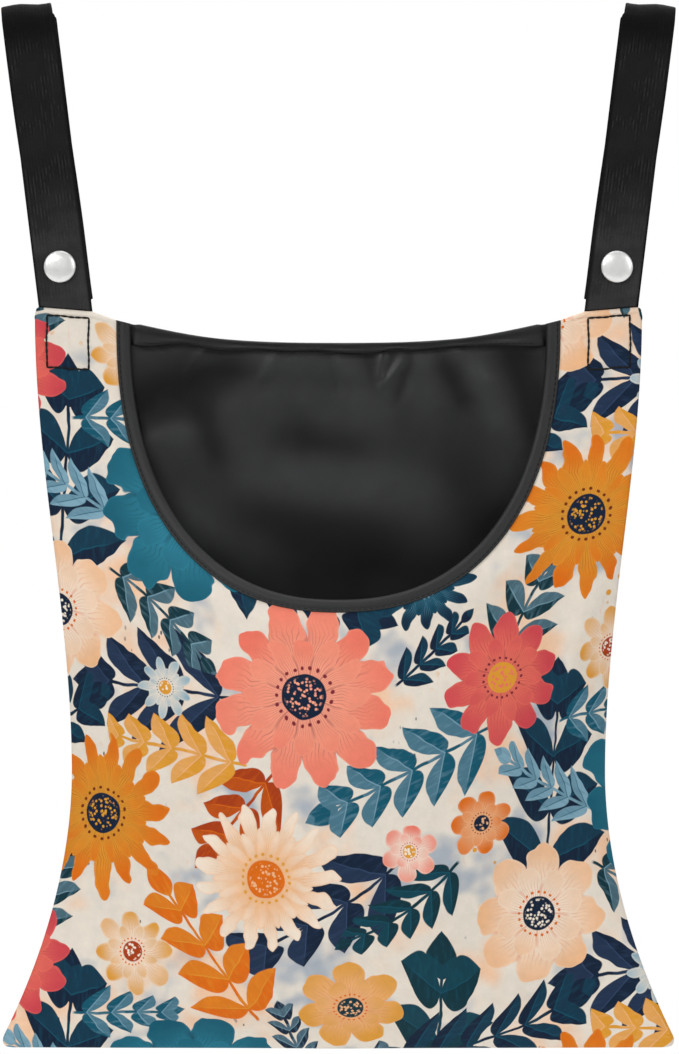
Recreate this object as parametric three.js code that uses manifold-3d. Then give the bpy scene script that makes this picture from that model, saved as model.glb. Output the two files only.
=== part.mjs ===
// A hanging peg bag: a printed front panel with a deep rounded mouth, a plain black back panel, a folded
// binding round the mouth, a hem on the back's top edge, and two webbing straps that loop over a line or rail
// and close with press studs. Millimetres, +Z up, the front of the bag faces -Y.
// The origin is where the line runs: halfway between the two strap loops, under the crown of their folds.
import * as THREE from "three";
import { mergeVertices } from "three/addons/utils/BufferGeometryUtils.js";
import Module from "manifold-3d";

const wasm = await Module();
wasm.setup();

// Bag outline, seen from the front
const BAG_HEIGHT = 348; // bottom seam to shoulder edge
const SHOULDER_SPAN = 286; // across both shoulders at the top edge
const WAIST_SPAN = 250; // where the open pocket draws the side seams in
const WAIST_HEIGHT = 130; // waist above the bottom seam
const BOTTOM_SPAN = 320; // along the bottom seam, before its corners are rounded
const CORNER_RADIUS = 6; // rounding of the bottom corners
const FLARE_CURVE = 1.9; // power of the flare below the waist
const TOP_SAG = 16.5; // the back's top edge hangs this far below the shoulders
const SAG_CURVE = 2.7; // power of that sag: a higher one is flatter in the middle
const SHOULDER_DROP = 2.2; // part of that sag, which the top edge falls under each strap
const SHOULDER_ROUND = 2.5; // rounding of the top edge's outer corners
const MOUTH_DEPTH = 138.5; // shoulder edge to the lowest point of the mouth's cut edge
const MOUTH_CURVE = 2.3; // power of the mouth's outline: 2 is an ellipse, a higher one is fuller

// How far the two panels stand apart
const FRONT_BULGE = 52; // of the front panel, at its fullest
const BACK_BULGE = 16; // of the back panel, at its fullest
const BULGE_HEIGHT = 150; // fullest place above the bottom seam
const BULGE_CURVE = 2.4; // power of the level section: a higher one is flatter in the middle
const FRONT_CLOTH = 1.2; // printed cloth with its black coating
const BACK_CLOTH = 1.0; // black coated cloth
const SEAM_GAP = 0.3; // between the two panels along the sewn seam
const SEAM_TURN = 1.6; // width over which a panel turns in to the seam

// Tape over the cut edges
const BINDING_WIDTH = 5; // from the cut edge to the end of each leg
const HEM_WIDTH = 4;
const TAPE_THICKNESS = 0.8;
const TAPE_CLEARANCE = 0.4;

// Straps
const STRAP_WIDTH = 25;
const STRAP_THICKNESS = 1.2;
const STRAP_LEAN = 7; // degrees, outwards
const STRAP_INSET = 1.8; // strap edge to the bag's side, at the shoulder
const STRAP_TO_MOUTH = 16.5; // strap edge to the mouth's cut edge
const STRAP_TAIL = 31; // sewn length between the panels
const STRAP_RISE = 134; // shoulder edge to the centre of the loop's crown
const STRAP_CLEARANCE = 0.3; // strap to each panel, and flap to crown
const LOOP_BORE = 18; // inside width of the loop at its crown
const FLAP_SHORT = 3; // the flap's free end stops this far above the shoulder

// Press stud
const SNAP_HEIGHT = 20; // above the shoulder edge
const CAP_DIAMETER = 15;
const CAP_DOME = 2.6;
const CAP_RIM = 0.9;
const CAP_CHAMFER = 0.3;
const SOCKET_DIAMETER = 12.6;
const SOCKET_HEIGHT = 3.0;
const SOCKET_PLATE = 0.8;
const STUD_DIAMETER = 11.6;
const STUD_FLANGE = 0.7;
const HEAD_DIAMETER = 6.8;
const HEAD_NECK = 0.5; // the neck is this much smaller in radius than the head
const RIVET_DIAMETER = 3.2;
const POST_DIAMETER = 11;
const POST_DOME = 1.2;
const POST_RIM = 0.4;
const SNAP_CLEARANCE = 0.3;

// Facets
const MOUTH_STEPS = 28;
const PANEL_ROWS = 20;
const BACK_COLUMNS = 22;
const CROWN_STEPS = 12;
const FLAP_STEPS = 14;
const LATHE_STEPS = 24;
const DOME_STEPS = 5;
const NOSE_STEPS = 4;
const CORNER_STEPS = 3;
const SLOPE_STEP = 0.5; // distance over which a surface's slope is taken
const MERGE_DISTANCE = 1e-4;

// Sizes that follow from those above
const shoulderHalf = SHOULDER_SPAN / 2;
const bottomHalf = BOTTOM_SPAN / 2;
const waistHalf = WAIST_SPAN / 2;
const panelGap = STRAP_THICKNESS + 2 * STRAP_CLEARANCE;
const shoulderWidth = STRAP_INSET + STRAP_WIDTH + STRAP_TO_MOUTH;
const mouthHalf = shoulderHalf - shoulderWidth;
const sagReach = shoulderHalf - STRAP_INSET - STRAP_WIDTH; // the top edge sags between the straps
const flatTop = BAG_HEIGHT - STRAP_TAIL - SEAM_TURN; // above this the panels lie flat on the strap
const noseOf = (cloth) => cloth / 2 + TAPE_CLEARANCE + TAPE_THICKNESS; // a tape's reach past its edge
const crownRadius = (LOOP_BORE + STRAP_THICKNESS) / 2; // middle of the webbing
const strapCentre = shoulderHalf - STRAP_INSET - STRAP_WIDTH / 2;
const lean = THREE.MathUtils.degToRad(STRAP_LEAN);
const railHeight = BAG_HEIGHT + (STRAP_RISE + LOOP_BORE / 2) * Math.cos(lean);

// Finishes
const printedCloth = { color: 0xe9d9c4, roughness: 0.8, metalness: 0 };
const blackCloth = { color: 0x2b2b2b, roughness: 0.5, metalness: 0 };
const blackTape = { color: 0x333333, roughness: 0.7, metalness: 0 };
const webbing = { color: 0x222222, roughness: 0.85, metalness: 0 };
const whiteCap = { color: 0xe4e4e2, roughness: 0.3, metalness: 0 };
const snapMetal = { color: 0xb9bbbd, roughness: 0.3, metalness: 1 };

// Solids from points

function signedVolume(points, faces) {
  let six = 0;
  for (let f = 0; f < faces.length; f += 3) {
    const [a, b, c] = [points[faces[f]], points[faces[f + 1]], points[faces[f + 2]]];
    six += a.dot(new THREE.Vector3().crossVectors(b, c));
  }
  return six / 6;
}

// A closed surface as a geometry, with its faces turned outwards.
function closedGeometry(points, faces) {
  const order = signedVolume(points, faces) < 0 ? faces.slice().reverse() : faces;
  return new THREE.BufferGeometry().setFromPoints(points).setIndex(order);
}

// A wall between two grids of points of the same size, closed round its edges.
function shell(outer, inner) {
  const rows = outer.length;
  const columns = outer[0].length;
  const points = [...outer.flat(), ...inner.flat()];
  const faces = [];
  const at = (side, row, column) => (side * rows + row) * columns + column;
  const quad = (a, b, c, d) => {
    const acShorter = points[a].distanceTo(points[c]) <= points[b].distanceTo(points[d]);
    faces.push(...(acShorter ? [a, b, c, a, c, d] : [a, b, d, b, c, d]));
  };
  for (let r = 0; r < rows - 1; r++) {
    for (let c = 0; c < columns - 1; c++) {
      quad(at(0, r, c), at(0, r, c + 1), at(0, r + 1, c + 1), at(0, r + 1, c));
      quad(at(1, r, c), at(1, r + 1, c), at(1, r + 1, c + 1), at(1, r, c + 1));
    }
    quad(at(0, r, 0), at(0, r + 1, 0), at(1, r + 1, 0), at(1, r, 0));
    const end = columns - 1;
    quad(at(0, r + 1, end), at(0, r, end), at(1, r, end), at(1, r + 1, end));
  }
  for (let c = 0; c < columns - 1; c++) {
    quad(at(0, 0, c + 1), at(0, 0, c), at(1, 0, c), at(1, 0, c + 1));
    const end = rows - 1;
    quad(at(0, end, c), at(0, end, c + 1), at(1, end, c + 1), at(1, end, c));
  }
  return closedGeometry(points, faces);
}

// A tape: one loop of points at each station, joined to the next and closed at both ends.
function sweep(loops, profile) {
  const sides = profile.length;
  const faces = [];
  for (let k = 0; k < loops.length - 1; k++) {
    for (let i = 0; i < sides; i++) {
      const [a, b] = [k * sides + i, k * sides + ((i + 1) % sides)];
      faces.push(a, b, b + sides, a, b + sides, a + sides);
    }
  }
  const last = (loops.length - 1) * sides;
  for (const [a, b, c] of THREE.ShapeUtils.triangulateShape(profile, [])) {
    faces.push(a, c, b, last + a, last + b, last + c);
  }
  return closedGeometry(loops.flat(), faces);
}

function toSolid(geometry) {
  const bare = geometry.clone();
  bare.deleteAttribute("normal");
  bare.deleteAttribute("uv");
  const merged = mergeVertices(bare, MERGE_DISTANCE);
  return new wasm.Manifold(
    new wasm.Mesh({
      numProp: 3,
      vertProperties: new Float32Array(merged.attributes.position.array),
      triVerts: new Uint32Array(merged.index.array),
    }),
  );
}

function fromSolid(solid) {
  const mesh = solid.getMesh();
  return new THREE.BufferGeometry()
    .setAttribute("position", new THREE.BufferAttribute(mesh.vertProperties, 3))
    .setIndex(new THREE.BufferAttribute(mesh.triVerts, 1));
}

// A round hole through a strap, along its thickness.
function punched(geometry, radius, y, z) {
  const punch = new THREE.CylinderGeometry(radius, radius, 4 * STRAP_THICKNESS, LATHE_STEPS);
  punch.translate(0, y, z);
  return fromSolid(toSolid(geometry).subtract(toSolid(punch)));
}

// Shape of the bag

const ease = (s) => s * s * (3 - 2 * s);
const slopeOf = (f, x) => (f(x + SLOPE_STEP) - f(x - SLOPE_STEP)) / (2 * SLOPE_STEP);
const quarterTurn = (share) => (share * Math.PI) / 2;

// Half the bag's width at a height above the bottom seam, with the bottom corners rounded.
function sideAt(height) {
  if (height > WAIST_HEIGHT) {
    const up = (height - WAIST_HEIGHT) / (BAG_HEIGHT - WAIST_HEIGHT);
    return waistHalf + (shoulderHalf - waistHalf) * ease(up);
  }
  const flare = (bottomHalf - waistHalf) * (1 - Math.max(0, height) / WAIST_HEIGHT) ** FLARE_CURVE;
  const inCorner = Math.min(CORNER_RADIUS, Math.max(0, CORNER_RADIUS - height));
  return waistHalf + flare - (CORNER_RADIUS - Math.sqrt(CORNER_RADIUS ** 2 - inCorner ** 2));
}

// Height of the top edge: round at its outer corners, falling under each strap and sagging between them.
function topAt(x) {
  const across = Math.abs(x);
  const under = Math.min(1, (shoulderHalf - across) / (shoulderHalf - sagReach));
  const between = Math.max(0, 1 - (across / sagReach) ** SAG_CURVE);
  const inCorner = Math.min(SHOULDER_ROUND, Math.max(0, across - (shoulderHalf - SHOULDER_ROUND)));
  const corner = SHOULDER_ROUND - Math.sqrt(SHOULDER_ROUND ** 2 - inCorner ** 2);
  return BAG_HEIGHT - corner - SHOULDER_DROP * under - (TOP_SAG - SHOULDER_DROP) * between;
}

// How full the pocket is, from 0 to 1, at a place on its outline.
function fullness(x, height) {
  const above = Math.min(1, Math.max(0, (height - BULGE_HEIGHT) / (flatTop - BULGE_HEIGHT)));
  const below = Math.min(1, Math.max(0, height / BULGE_HEIGHT));
  const upward = height > BULGE_HEIGHT ? (1 + Math.cos(Math.PI * above)) / 2 : Math.sin(quarterTurn(below));
  const across = Math.min(1, Math.abs(x) / sideAt(height));
  return upward * (1 - across ** BULGE_CURVE);
}

// One panel's wall: a point on its inner face (layer 0), on its outer face (1), or between or beyond them.
// Facing is -1 for the front panel and 1 for the back.
function panelWall(facing, bulge, cloth) {
  return (x, height, layer) => {
    const slopeX = slopeOf((at) => bulge * fullness(at, height), x);
    const slopeUp = slopeOf((at) => bulge * fullness(x, at), height);
    const normal = new THREE.Vector3(-slopeX, facing, -slopeUp).normalize();
    const fromSeam = Math.max(0, Math.min(sideAt(height) - Math.abs(x), height));
    const turn = (Math.min(1, fromSeam / SEAM_TURN) * (panelGap - SEAM_GAP)) / 2;
    const depth = SEAM_GAP / 2 + turn + bulge * fullness(x, height);
    return new THREE.Vector3(x, facing * depth, height).addScaledVector(normal, layer * cloth);
  };
}

const frontWall = panelWall(-1, FRONT_BULGE, FRONT_CLOTH);
const backWall = panelWall(1, BACK_BULGE, BACK_CLOTH);

// A grid over the area between a bottom edge and a top edge, whose sides follow the side seams.
function patch(bottom, top) {
  const rises = [];
  const corner = CORNER_RADIUS / BAG_HEIGHT;
  for (let r = 0; r < CORNER_STEPS; r++) rises.push(corner * (1 - Math.cos(quarterTurn(r / CORNER_STEPS))));
  for (let r = 0; r <= PANEL_ROWS; r++) rises.push(THREE.MathUtils.lerp(corner, 1, r / PANEL_ROWS));
  const cornerHalf = sideAt(0);
  return rises.map((rise) => {
    const straight = THREE.MathUtils.lerp(cornerHalf, shoulderHalf, rise);
    const drawnIn = straight - sideAt(rise * BAG_HEIGHT);
    return bottom.map((start, i) => {
      const across = start.x / cornerHalf;
      const point = start.clone().lerp(top[i], rise);
      point.x -= drawnIn * across;
      return point;
    });
  });
}

const pointAt = (x, height) => new THREE.Vector2(x, height);
const mirrored = (points) => points.map((p) => pointAt(-p.x, p.y)).reverse();

// The mouth's cut edge, a full half oval hung between the shoulders, from left to right.
function mouthEdge() {
  const corner = topAt(mouthHalf);
  const drop = MOUTH_DEPTH - (BAG_HEIGHT - corner);
  const points = [];
  for (let k = 0; k <= MOUTH_STEPS; k++) {
    const angle = Math.PI * (1 - k / MOUTH_STEPS);
    const across = Math.sign(Math.cos(angle)) * Math.abs(Math.cos(angle)) ** (2 / MOUTH_CURVE);
    const down = Math.abs(Math.sin(angle)) ** (2 / MOUTH_CURVE);
    points.push(pointAt(mouthHalf * across, corner - drop * down));
  }
  return points;
}

function frontPanel() {
  const across = [shoulderHalf, shoulderHalf - SEAM_TURN, strapCentre, sagReach];
  const shoulder = across.map((x) => pointAt(-x, topAt(x)));
  const top = [...shoulder, ...mouthEdge(), ...mirrored(shoulder)];
  const cornerHalf = sideAt(0);
  const strip = cornerHalf - shoulderWidth;
  const foot = across.map((x) => pointAt(-x - (cornerHalf - shoulderHalf), 0));
  const under = mouthEdge().map((_, k) => pointAt(strip * ((2 * k) / MOUTH_STEPS - 1), 0));
  const grid = patch([...foot, ...under, ...mirrored(foot)], top);
  const layer = (depth) => grid.map((row) => row.map((p) => frontWall(p.x, p.y, depth)));
  return shell(layer(1), layer(0));
}

function backPanel() {
  const cornerHalf = sideAt(0);
  const inner = [];
  for (let c = 0; c <= BACK_COLUMNS; c++) inner.push(1 - (2 * c) / BACK_COLUMNS);
  const across = (half) => [half, ...inner.map((share) => share * (half - SEAM_TURN)), -half];
  const grid = patch(
    across(cornerHalf).map((x) => pointAt(x, 0)),
    across(shoulderHalf).map((x) => pointAt(x, topAt(x))),
  );
  const layer = (depth) => grid.map((row) => row.map((p) => backWall(p.x, p.y, depth)));
  return shell(layer(1), layer(0));
}

// A tape folded over a cut edge: two flat legs along the cloth, joined by a round nose past the edge.
function edgeTape(edge, wall, cloth, width) {
  const slot = 0.5 + TAPE_CLEARANCE / cloth; // in cloth thicknesses from the middle of the wall
  const face = slot + TAPE_THICKNESS / cloth;
  const nose = [];
  for (let k = 0; k <= NOSE_STEPS; k++) {
    const angle = quarterTurn((2 * k) / NOSE_STEPS - 1);
    nose.push(pointAt(noseOf(cloth) * Math.cos(angle), face * Math.sin(angle)));
  }
  const profile = [
    pointAt(-width, slot),
    pointAt(TAPE_CLEARANCE, slot),
    pointAt(TAPE_CLEARANCE, -slot),
    pointAt(-width, -slot),
    pointAt(-width, -face),
    ...nose,
    pointAt(-width, face),
  ];
  const loops = edge.map((here, k) => {
    const before = edge[Math.max(0, k - 1)];
    const after = edge[Math.min(edge.length - 1, k + 1)];
    const along = after.clone().sub(before).normalize();
    const past = pointAt(-along.y, along.x); // away from the cloth, on the left of the edge
    const root = here.clone().addScaledVector(past, -width);
    return profile.map((p) => {
      const share = Math.min(0, p.x) / -width; // 0 at the cut edge, 1 at the leg's end
      const on = here.clone().lerp(root, share);
      const point = wall(on.x, on.y, 0.5 + p.y);
      const beyond = Math.max(0, p.x);
      return point.add(new THREE.Vector3(past.x * beyond, 0, past.y * beyond));
    });
  });
  return sweep(loops, profile);
}

// The back's hem, which ends just clear of the mouth's binding.
function backHem() {
  const slope = topAt(mouthHalf) - topAt(mouthHalf - 1);
  const half = mouthHalf - noseOf(FRONT_CLOTH) - HEM_WIDTH * slope - 2 * TAPE_CLEARANCE;
  const edge = [];
  for (let c = 0; c <= BACK_COLUMNS; c++) {
    const x = half * ((2 * c) / BACK_COLUMNS - 1);
    edge.push(pointAt(x, topAt(x)));
  }
  return edgeTape(edge, backWall, BACK_CLOTH, HEM_WIDTH);
}

// Straps, in their own frame: X across the webbing, -Y forwards, Z up the strap from the shoulder edge

const snapStack = SOCKET_HEIGHT + STUD_FLANGE + 3 * SNAP_CLEARANCE; // between the webbing's two faces
const flapAtSnap = -(STRAP_THICKNESS + snapStack);
const flapAtCrown = -2 * crownRadius;
const flapTop = STRAP_RISE - STRAP_CLEARANCE;
const snapZone = SNAP_HEIGHT + CAP_DIAMETER; // below this the flap runs parallel to the leg

// A flat band through stations of {y, z} and the direction that its face looks in.
function band(stations) {
  const face = (side) =>
    stations.map(({ y, z, out }) =>
      [-0.5, 0.5].map(
        (edge) =>
          new THREE.Vector3(
            edge * STRAP_WIDTH,
            y + side * out.x * (STRAP_THICKNESS / 2),
            z + side * out.y * (STRAP_THICKNESS / 2),
          ),
      ),
    );
  return shell(face(1), face(-1));
}

// The sewn tail, the back run and the crown that bears on the line.
function strapLeg() {
  const stations = [{ y: 0, z: -STRAP_TAIL, out: pointAt(1, 0) }];
  for (let k = 0; k <= CROWN_STEPS; k++) {
    const angle = (Math.PI * k) / CROWN_STEPS;
    const out = pointAt(Math.cos(angle), Math.sin(angle));
    stations.push({ y: crownRadius * (out.x - 1), z: STRAP_RISE + crownRadius * out.y, out });
  }
  return punched(band(stations), RIVET_DIAMETER / 2 + SNAP_CLEARANCE, 0, SNAP_HEIGHT);
}

// Depth of the flap's middle at a height up the strap.
function flapDepth(z) {
  const share = Math.min(1, Math.max(0, (z - snapZone) / (flapTop - snapZone)));
  return THREE.MathUtils.lerp(flapAtSnap, flapAtCrown, ease(share));
}

function strapFlap() {
  const stations = [];
  for (let k = 0; k <= FLAP_STEPS; k++) {
    const z = THREE.MathUtils.lerp(flapTop, FLAP_SHORT, k / FLAP_STEPS);
    stations.push({ y: flapDepth(z), z, out: pointAt(-1, slopeOf(flapDepth, z)).normalize() });
  }
  return punched(band(stations), RIVET_DIAMETER / 2 + SNAP_CLEARANCE, flapAtSnap, SNAP_HEIGHT);
}

// A turned piece on the press stud's axis, from its profile of [radius, depth] pairs.
function turned(profile) {
  const points = profile.map(([radius, y]) => pointAt(radius, y));
  const lathe = new THREE.LatheGeometry(points, LATHE_STEPS);
  lathe.deleteAttribute("normal");
  lathe.deleteAttribute("uv");
  const merged = mergeVertices(lathe, MERGE_DISTANCE);
  const position = merged.attributes.position;
  const corners = [];
  for (let i = 0; i < position.count; i++) {
    corners.push(new THREE.Vector3().fromBufferAttribute(position, i));
  }
  const faces = [];
  for (let f = 0; f < merged.index.count; f += 3) {
    const triangle = [merged.index.getX(f), merged.index.getX(f + 1), merged.index.getX(f + 2)];
    if (new Set(triangle).size === 3) faces.push(...triangle);
  }
  return closedGeometry(corners, faces).translate(0, 0, SNAP_HEIGHT);
}

const flapFront = flapAtSnap - STRAP_THICKNESS / 2;
const flapBack = flapAtSnap + STRAP_THICKNESS / 2;
const legFront = -STRAP_THICKNESS / 2;
const legBack = STRAP_THICKNESS / 2;
const rivet = RIVET_DIAMETER / 2;
const rivetHole = rivet + SNAP_CLEARANCE;
const headRadius = HEAD_DIAMETER / 2;
const socketFace = flapBack + SNAP_CLEARANCE;
const studFace = legFront - SNAP_CLEARANCE;
const headTop = socketFace + SOCKET_PLATE + 2 * SNAP_CLEARANCE;

// A dome's profile from the axis to its edge, which lies at the depth of its base.
function dome(radius, base, rise) {
  const profile = [];
  for (let k = 0; k <= DOME_STEPS; k++) {
    const angle = quarterTurn(k / DOME_STEPS);
    profile.push([radius * Math.sin(angle), base + rise * Math.cos(angle)]);
  }
  return profile;
}

// The domed cap and its rivet, through the flap.
function snapCap() {
  const radius = CAP_DIAMETER / 2;
  const under = flapFront - SNAP_CLEARANCE;
  return turned([
    ...dome(radius, under - CAP_RIM, CAP_RIM - CAP_DOME),
    [radius, under - CAP_CHAMFER],
    [radius - CAP_CHAMFER, under],
    [rivet, under],
    [rivet, socketFace + SOCKET_PLATE],
    [0, socketFace + SOCKET_PLATE],
  ]);
}

// The ring behind the flap, with the cup that takes the stud's head.
function snapSocket() {
  const outer = SOCKET_DIAMETER / 2;
  const cup = headRadius + SNAP_CLEARANCE;
  const foot = socketFace + SOCKET_PLATE;
  const lip = socketFace + SOCKET_HEIGHT;
  const round = SOCKET_PLATE / 2;
  return turned([
    [rivetHole, socketFace],
    [outer - round, socketFace],
    [outer, socketFace + round],
    [outer, foot],
    [outer - round, lip],
    [cup, lip],
    [cup, foot],
    [rivetHole, foot],
    [rivetHole, socketFace],
  ]);
}

// The stud on the front of the leg: a flange, a neck and a round head, bored for the rear rivet.
function snapStud() {
  const flange = studFace - STUD_FLANGE;
  const neck = headRadius - HEAD_NECK;
  const middle = (flange + headTop) / 2;
  return turned([
    [rivetHole, studFace],
    [STUD_DIAMETER / 2, studFace],
    [STUD_DIAMETER / 2, flange],
    [neck, flange],
    [headRadius, middle],
    [neck, headTop],
    [rivetHole, headTop],
    [rivetHole, studFace],
  ]);
}

// The rear rivet: a low domed head behind the leg and a post up into the stud.
function snapPost() {
  const radius = POST_DIAMETER / 2;
  const face = legBack + SNAP_CLEARANCE;
  return turned([
    [0, headTop + SNAP_CLEARANCE],
    [rivet, headTop + SNAP_CLEARANCE],
    [rivet, face],
    [radius, face],
    ...dome(radius, face + POST_RIM, POST_DOME - POST_RIM).reverse(),
  ]);
}

// The assembly

function piece(name, geometry, finish) {
  const mesh = new THREE.Mesh(geometry, new THREE.MeshStandardMaterial(finish));
  mesh.name = name;
  return mesh;
}

function strap(side, direction) {
  const group = new THREE.Group();
  group.add(piece(`${side}_strap_leg`, strapLeg(), webbing));
  group.add(piece(`${side}_strap_flap`, strapFlap(), webbing));
  group.add(piece(`${side}_snap_cap`, snapCap(), whiteCap));
  group.add(piece(`${side}_snap_socket`, snapSocket(), snapMetal));
  group.add(piece(`${side}_snap_stud`, snapStud(), snapMetal));
  group.add(piece(`${side}_snap_post`, snapPost(), snapMetal));
  group.position.set(direction * strapCentre, 0, BAG_HEIGHT);
  group.rotation.y = direction * lean;
  return group;
}

const pegBag = new THREE.Group();
pegBag.add(piece("front_panel", frontPanel(), printedCloth));
pegBag.add(piece("back_panel", backPanel(), blackCloth));
pegBag.add(piece("mouth_binding", edgeTape(mouthEdge(), frontWall, FRONT_CLOTH, BINDING_WIDTH), blackTape));
pegBag.add(piece("back_hem", backHem(), blackTape));
pegBag.add(strap("left", -1));
pegBag.add(strap("right", 1));
pegBag.position.set(0, crownRadius, -railHeight);

const part = new THREE.Group();
part.add(pegBag);

export default part;
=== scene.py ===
# %% [markdown]
# # A peg bag on two strap loops
# The bag is two sewn panels: a printed front with a deep round mouth, and a plain black back. Two webbing
# straps loop over a clothes line and close with press studs. The packed model gives every size and place,
# so the work here is cloth, tape, webbing, thread and finish. Loading comes first. The dressed bag has to
# stay inside it.

# %% Load the packed model
import math

import bmesh
import bpy
import numpy as np
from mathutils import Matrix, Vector


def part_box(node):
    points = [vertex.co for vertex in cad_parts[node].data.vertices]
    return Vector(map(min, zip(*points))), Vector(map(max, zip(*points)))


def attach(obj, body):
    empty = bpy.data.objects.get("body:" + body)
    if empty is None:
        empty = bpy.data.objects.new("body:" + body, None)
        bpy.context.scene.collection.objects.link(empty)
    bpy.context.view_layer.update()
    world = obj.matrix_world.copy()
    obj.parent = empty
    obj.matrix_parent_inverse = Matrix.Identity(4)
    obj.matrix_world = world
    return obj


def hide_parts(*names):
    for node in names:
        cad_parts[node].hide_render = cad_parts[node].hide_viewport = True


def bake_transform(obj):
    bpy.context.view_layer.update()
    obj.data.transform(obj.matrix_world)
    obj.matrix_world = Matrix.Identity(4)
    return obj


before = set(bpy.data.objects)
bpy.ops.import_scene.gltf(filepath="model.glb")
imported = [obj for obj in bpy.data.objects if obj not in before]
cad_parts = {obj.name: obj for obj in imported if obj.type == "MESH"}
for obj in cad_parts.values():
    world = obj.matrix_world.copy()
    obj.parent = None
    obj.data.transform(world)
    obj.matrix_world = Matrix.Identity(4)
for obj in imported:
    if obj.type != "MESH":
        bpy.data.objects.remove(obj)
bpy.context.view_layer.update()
scene = bpy.context.scene
MM = 0.001


# %% [markdown]
# ## Sizes
# The cloth follows the same outline as the solids, so the numbers of the pattern are repeated here, in
# millimetres. Reading points back from the solids' facets would be the other way, but facets are coarse and
# a formula can be sampled as finely as cloth needs. Only the place comes from the solids: the plane of the
# seams is the middle of the strap's back run, and the heights hang from the top of the strap's loop.

# %% Sizes and place
SIDES = (("left", -1), ("right", 1))
BAG_HEIGHT = 348.0
SHOULDER_HALF, WAIST_HALF, BOTTOM_HALF = 143.0, 125.0, 160.0
WAIST_HEIGHT, CORNER_RADIUS, FLARE_CURVE = 130.0, 6.0, 1.9
STRAP_WIDTH, STRAP_THICKNESS, STRAP_LEAN = 25.0, 1.2, 7.0
STRAP_INSET, STRAP_TO_MOUTH, STRAP_TAIL, STRAP_RISE, CROWN_RADIUS = 1.8, 16.5, 31.0, 134.0, 9.6
TOP_SAG, SAG_CURVE, SHOULDER_DROP, SHOULDER_ROUND = 16.5, 2.7, 2.2, 2.5
MOUTH_DEPTH, MOUTH_CURVE = 138.5, 2.3
FRONT_BULGE, BACK_BULGE, BULGE_HEIGHT, BULGE_CURVE = 52.0, 16.0, 150.0, 2.4
FRONT_CLOTH, BACK_CLOTH = 1.2, 1.0
PANEL_GAP, SEWN_GAP, SEAM_TURN = 1.8, 0.04, 1.6
BINDING_WIDTH, HEM_WIDTH = 5.0, 4.0

SAG_REACH = SHOULDER_HALF - STRAP_INSET - STRAP_WIDTH
MOUTH_HALF = SAG_REACH - STRAP_TO_MOUTH
STRAP_CENTRE = SHOULDER_HALF - STRAP_INSET - STRAP_WIDTH / 2
FLAT_TOP = BAG_HEIGHT - STRAP_TAIL - SEAM_TURN

LEAN = math.radians(STRAP_LEAN)
CROWN_TOP = STRAP_RISE + CROWN_RADIUS + STRAP_THICKNESS / 2
LOOP_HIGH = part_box("left_strap_leg")[1] / MM
SEAM_Y = LOOP_HIGH.y - STRAP_THICKNESS / 2
BOTTOM_Z = LOOP_HIGH.z - BAG_HEIGHT - CROWN_TOP * math.cos(LEAN) - STRAP_WIDTH / 2 * math.sin(LEAN)


def placed(points):
    """Bag millimetres (across, back, up from the bottom seam) to metres in the packed model's frame."""
    return (np.asarray(points, float) + (0, SEAM_Y, BOTTOM_Z)) * MM


print("seam plane and bottom seam, mm:", round(SEAM_Y, 2), round(BOTTOM_Z, 2))

# %% [markdown]
# ## The shape of the panels
# Both panels share one outline: shoulders, a drawn-in waist and a flared bottom. The pocket swells between
# them, most at about a third of the height, and flattens to nothing at the seams and under the straps. A
# point of cloth is found from its place across and up, and from a layer: 0 is the inner face, 1 the outer.

# %% Outline
def ease(share):
    """A soft step: 0 up to 0, 1 from 1 on, level at both ends."""
    share = np.clip(share, 0, 1)
    return share * share * (3 - 2 * share)


def rounded_off(into, radius):
    """How far a round corner falls back, at a distance into it."""
    into = np.clip(into, 0, radius)
    return radius - np.sqrt(radius**2 - into**2)


def side_at(up):
    """Half the bag's width at a height."""
    up = np.asarray(up, float)
    widening = ease((up - WAIST_HEIGHT) / (BAG_HEIGHT - WAIST_HEIGHT))
    above = WAIST_HALF + (SHOULDER_HALF - WAIST_HALF) * widening
    flare = (BOTTOM_HALF - WAIST_HALF) * (1 - np.clip(up, 0, WAIST_HEIGHT) / WAIST_HEIGHT) ** FLARE_CURVE
    corner = rounded_off(CORNER_RADIUS - up, CORNER_RADIUS)
    return np.where(up > WAIST_HEIGHT, above, WAIST_HALF + flare - corner)


def top_at(across):
    """Height of the top edge: round at its outer corners, falling under each strap, sagging between them."""
    across = np.abs(np.asarray(across, float))
    under = np.minimum(1, (SHOULDER_HALF - across) / (SHOULDER_HALF - SAG_REACH))
    between = np.maximum(0, 1 - (across / SAG_REACH) ** SAG_CURVE)
    corner = rounded_off(across - SHOULDER_HALF + SHOULDER_ROUND, SHOULDER_ROUND)
    return BAG_HEIGHT - corner - SHOULDER_DROP * under - (TOP_SAG - SHOULDER_DROP) * between


print("waist, mm:", 2 * float(side_at(WAIST_HEIGHT)), "top edge in the middle:", float(top_at(0)))

# %% Fullness and the two walls
HALF_STEP = 0.5


def fullness(across, up):
    """Share of the full swell: 0 at the seams and under the straps, 1 in the middle of the pocket."""
    rising = np.sin(np.pi / 2 * np.clip(up / BULGE_HEIGHT, 0, 1))
    closing = (1 + np.cos(np.pi * np.clip((up - BULGE_HEIGHT) / (FLAT_TOP - BULGE_HEIGHT), 0, 1))) / 2
    level = 1 - np.minimum(1, np.abs(across) / side_at(up)) ** BULGE_CURVE
    return np.where(up > BULGE_HEIGHT, closing, rising) * level


def swell_slopes(across, up, bulge):
    """How steeply the swell rises across and up, read over one millimetre."""
    over_across = fullness(across + HALF_STEP, up) - fullness(across - HALF_STEP, up)
    over_up = fullness(across, up + HALF_STEP) - fullness(across, up - HALF_STEP)
    return bulge * over_across, bulge * over_up


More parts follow.
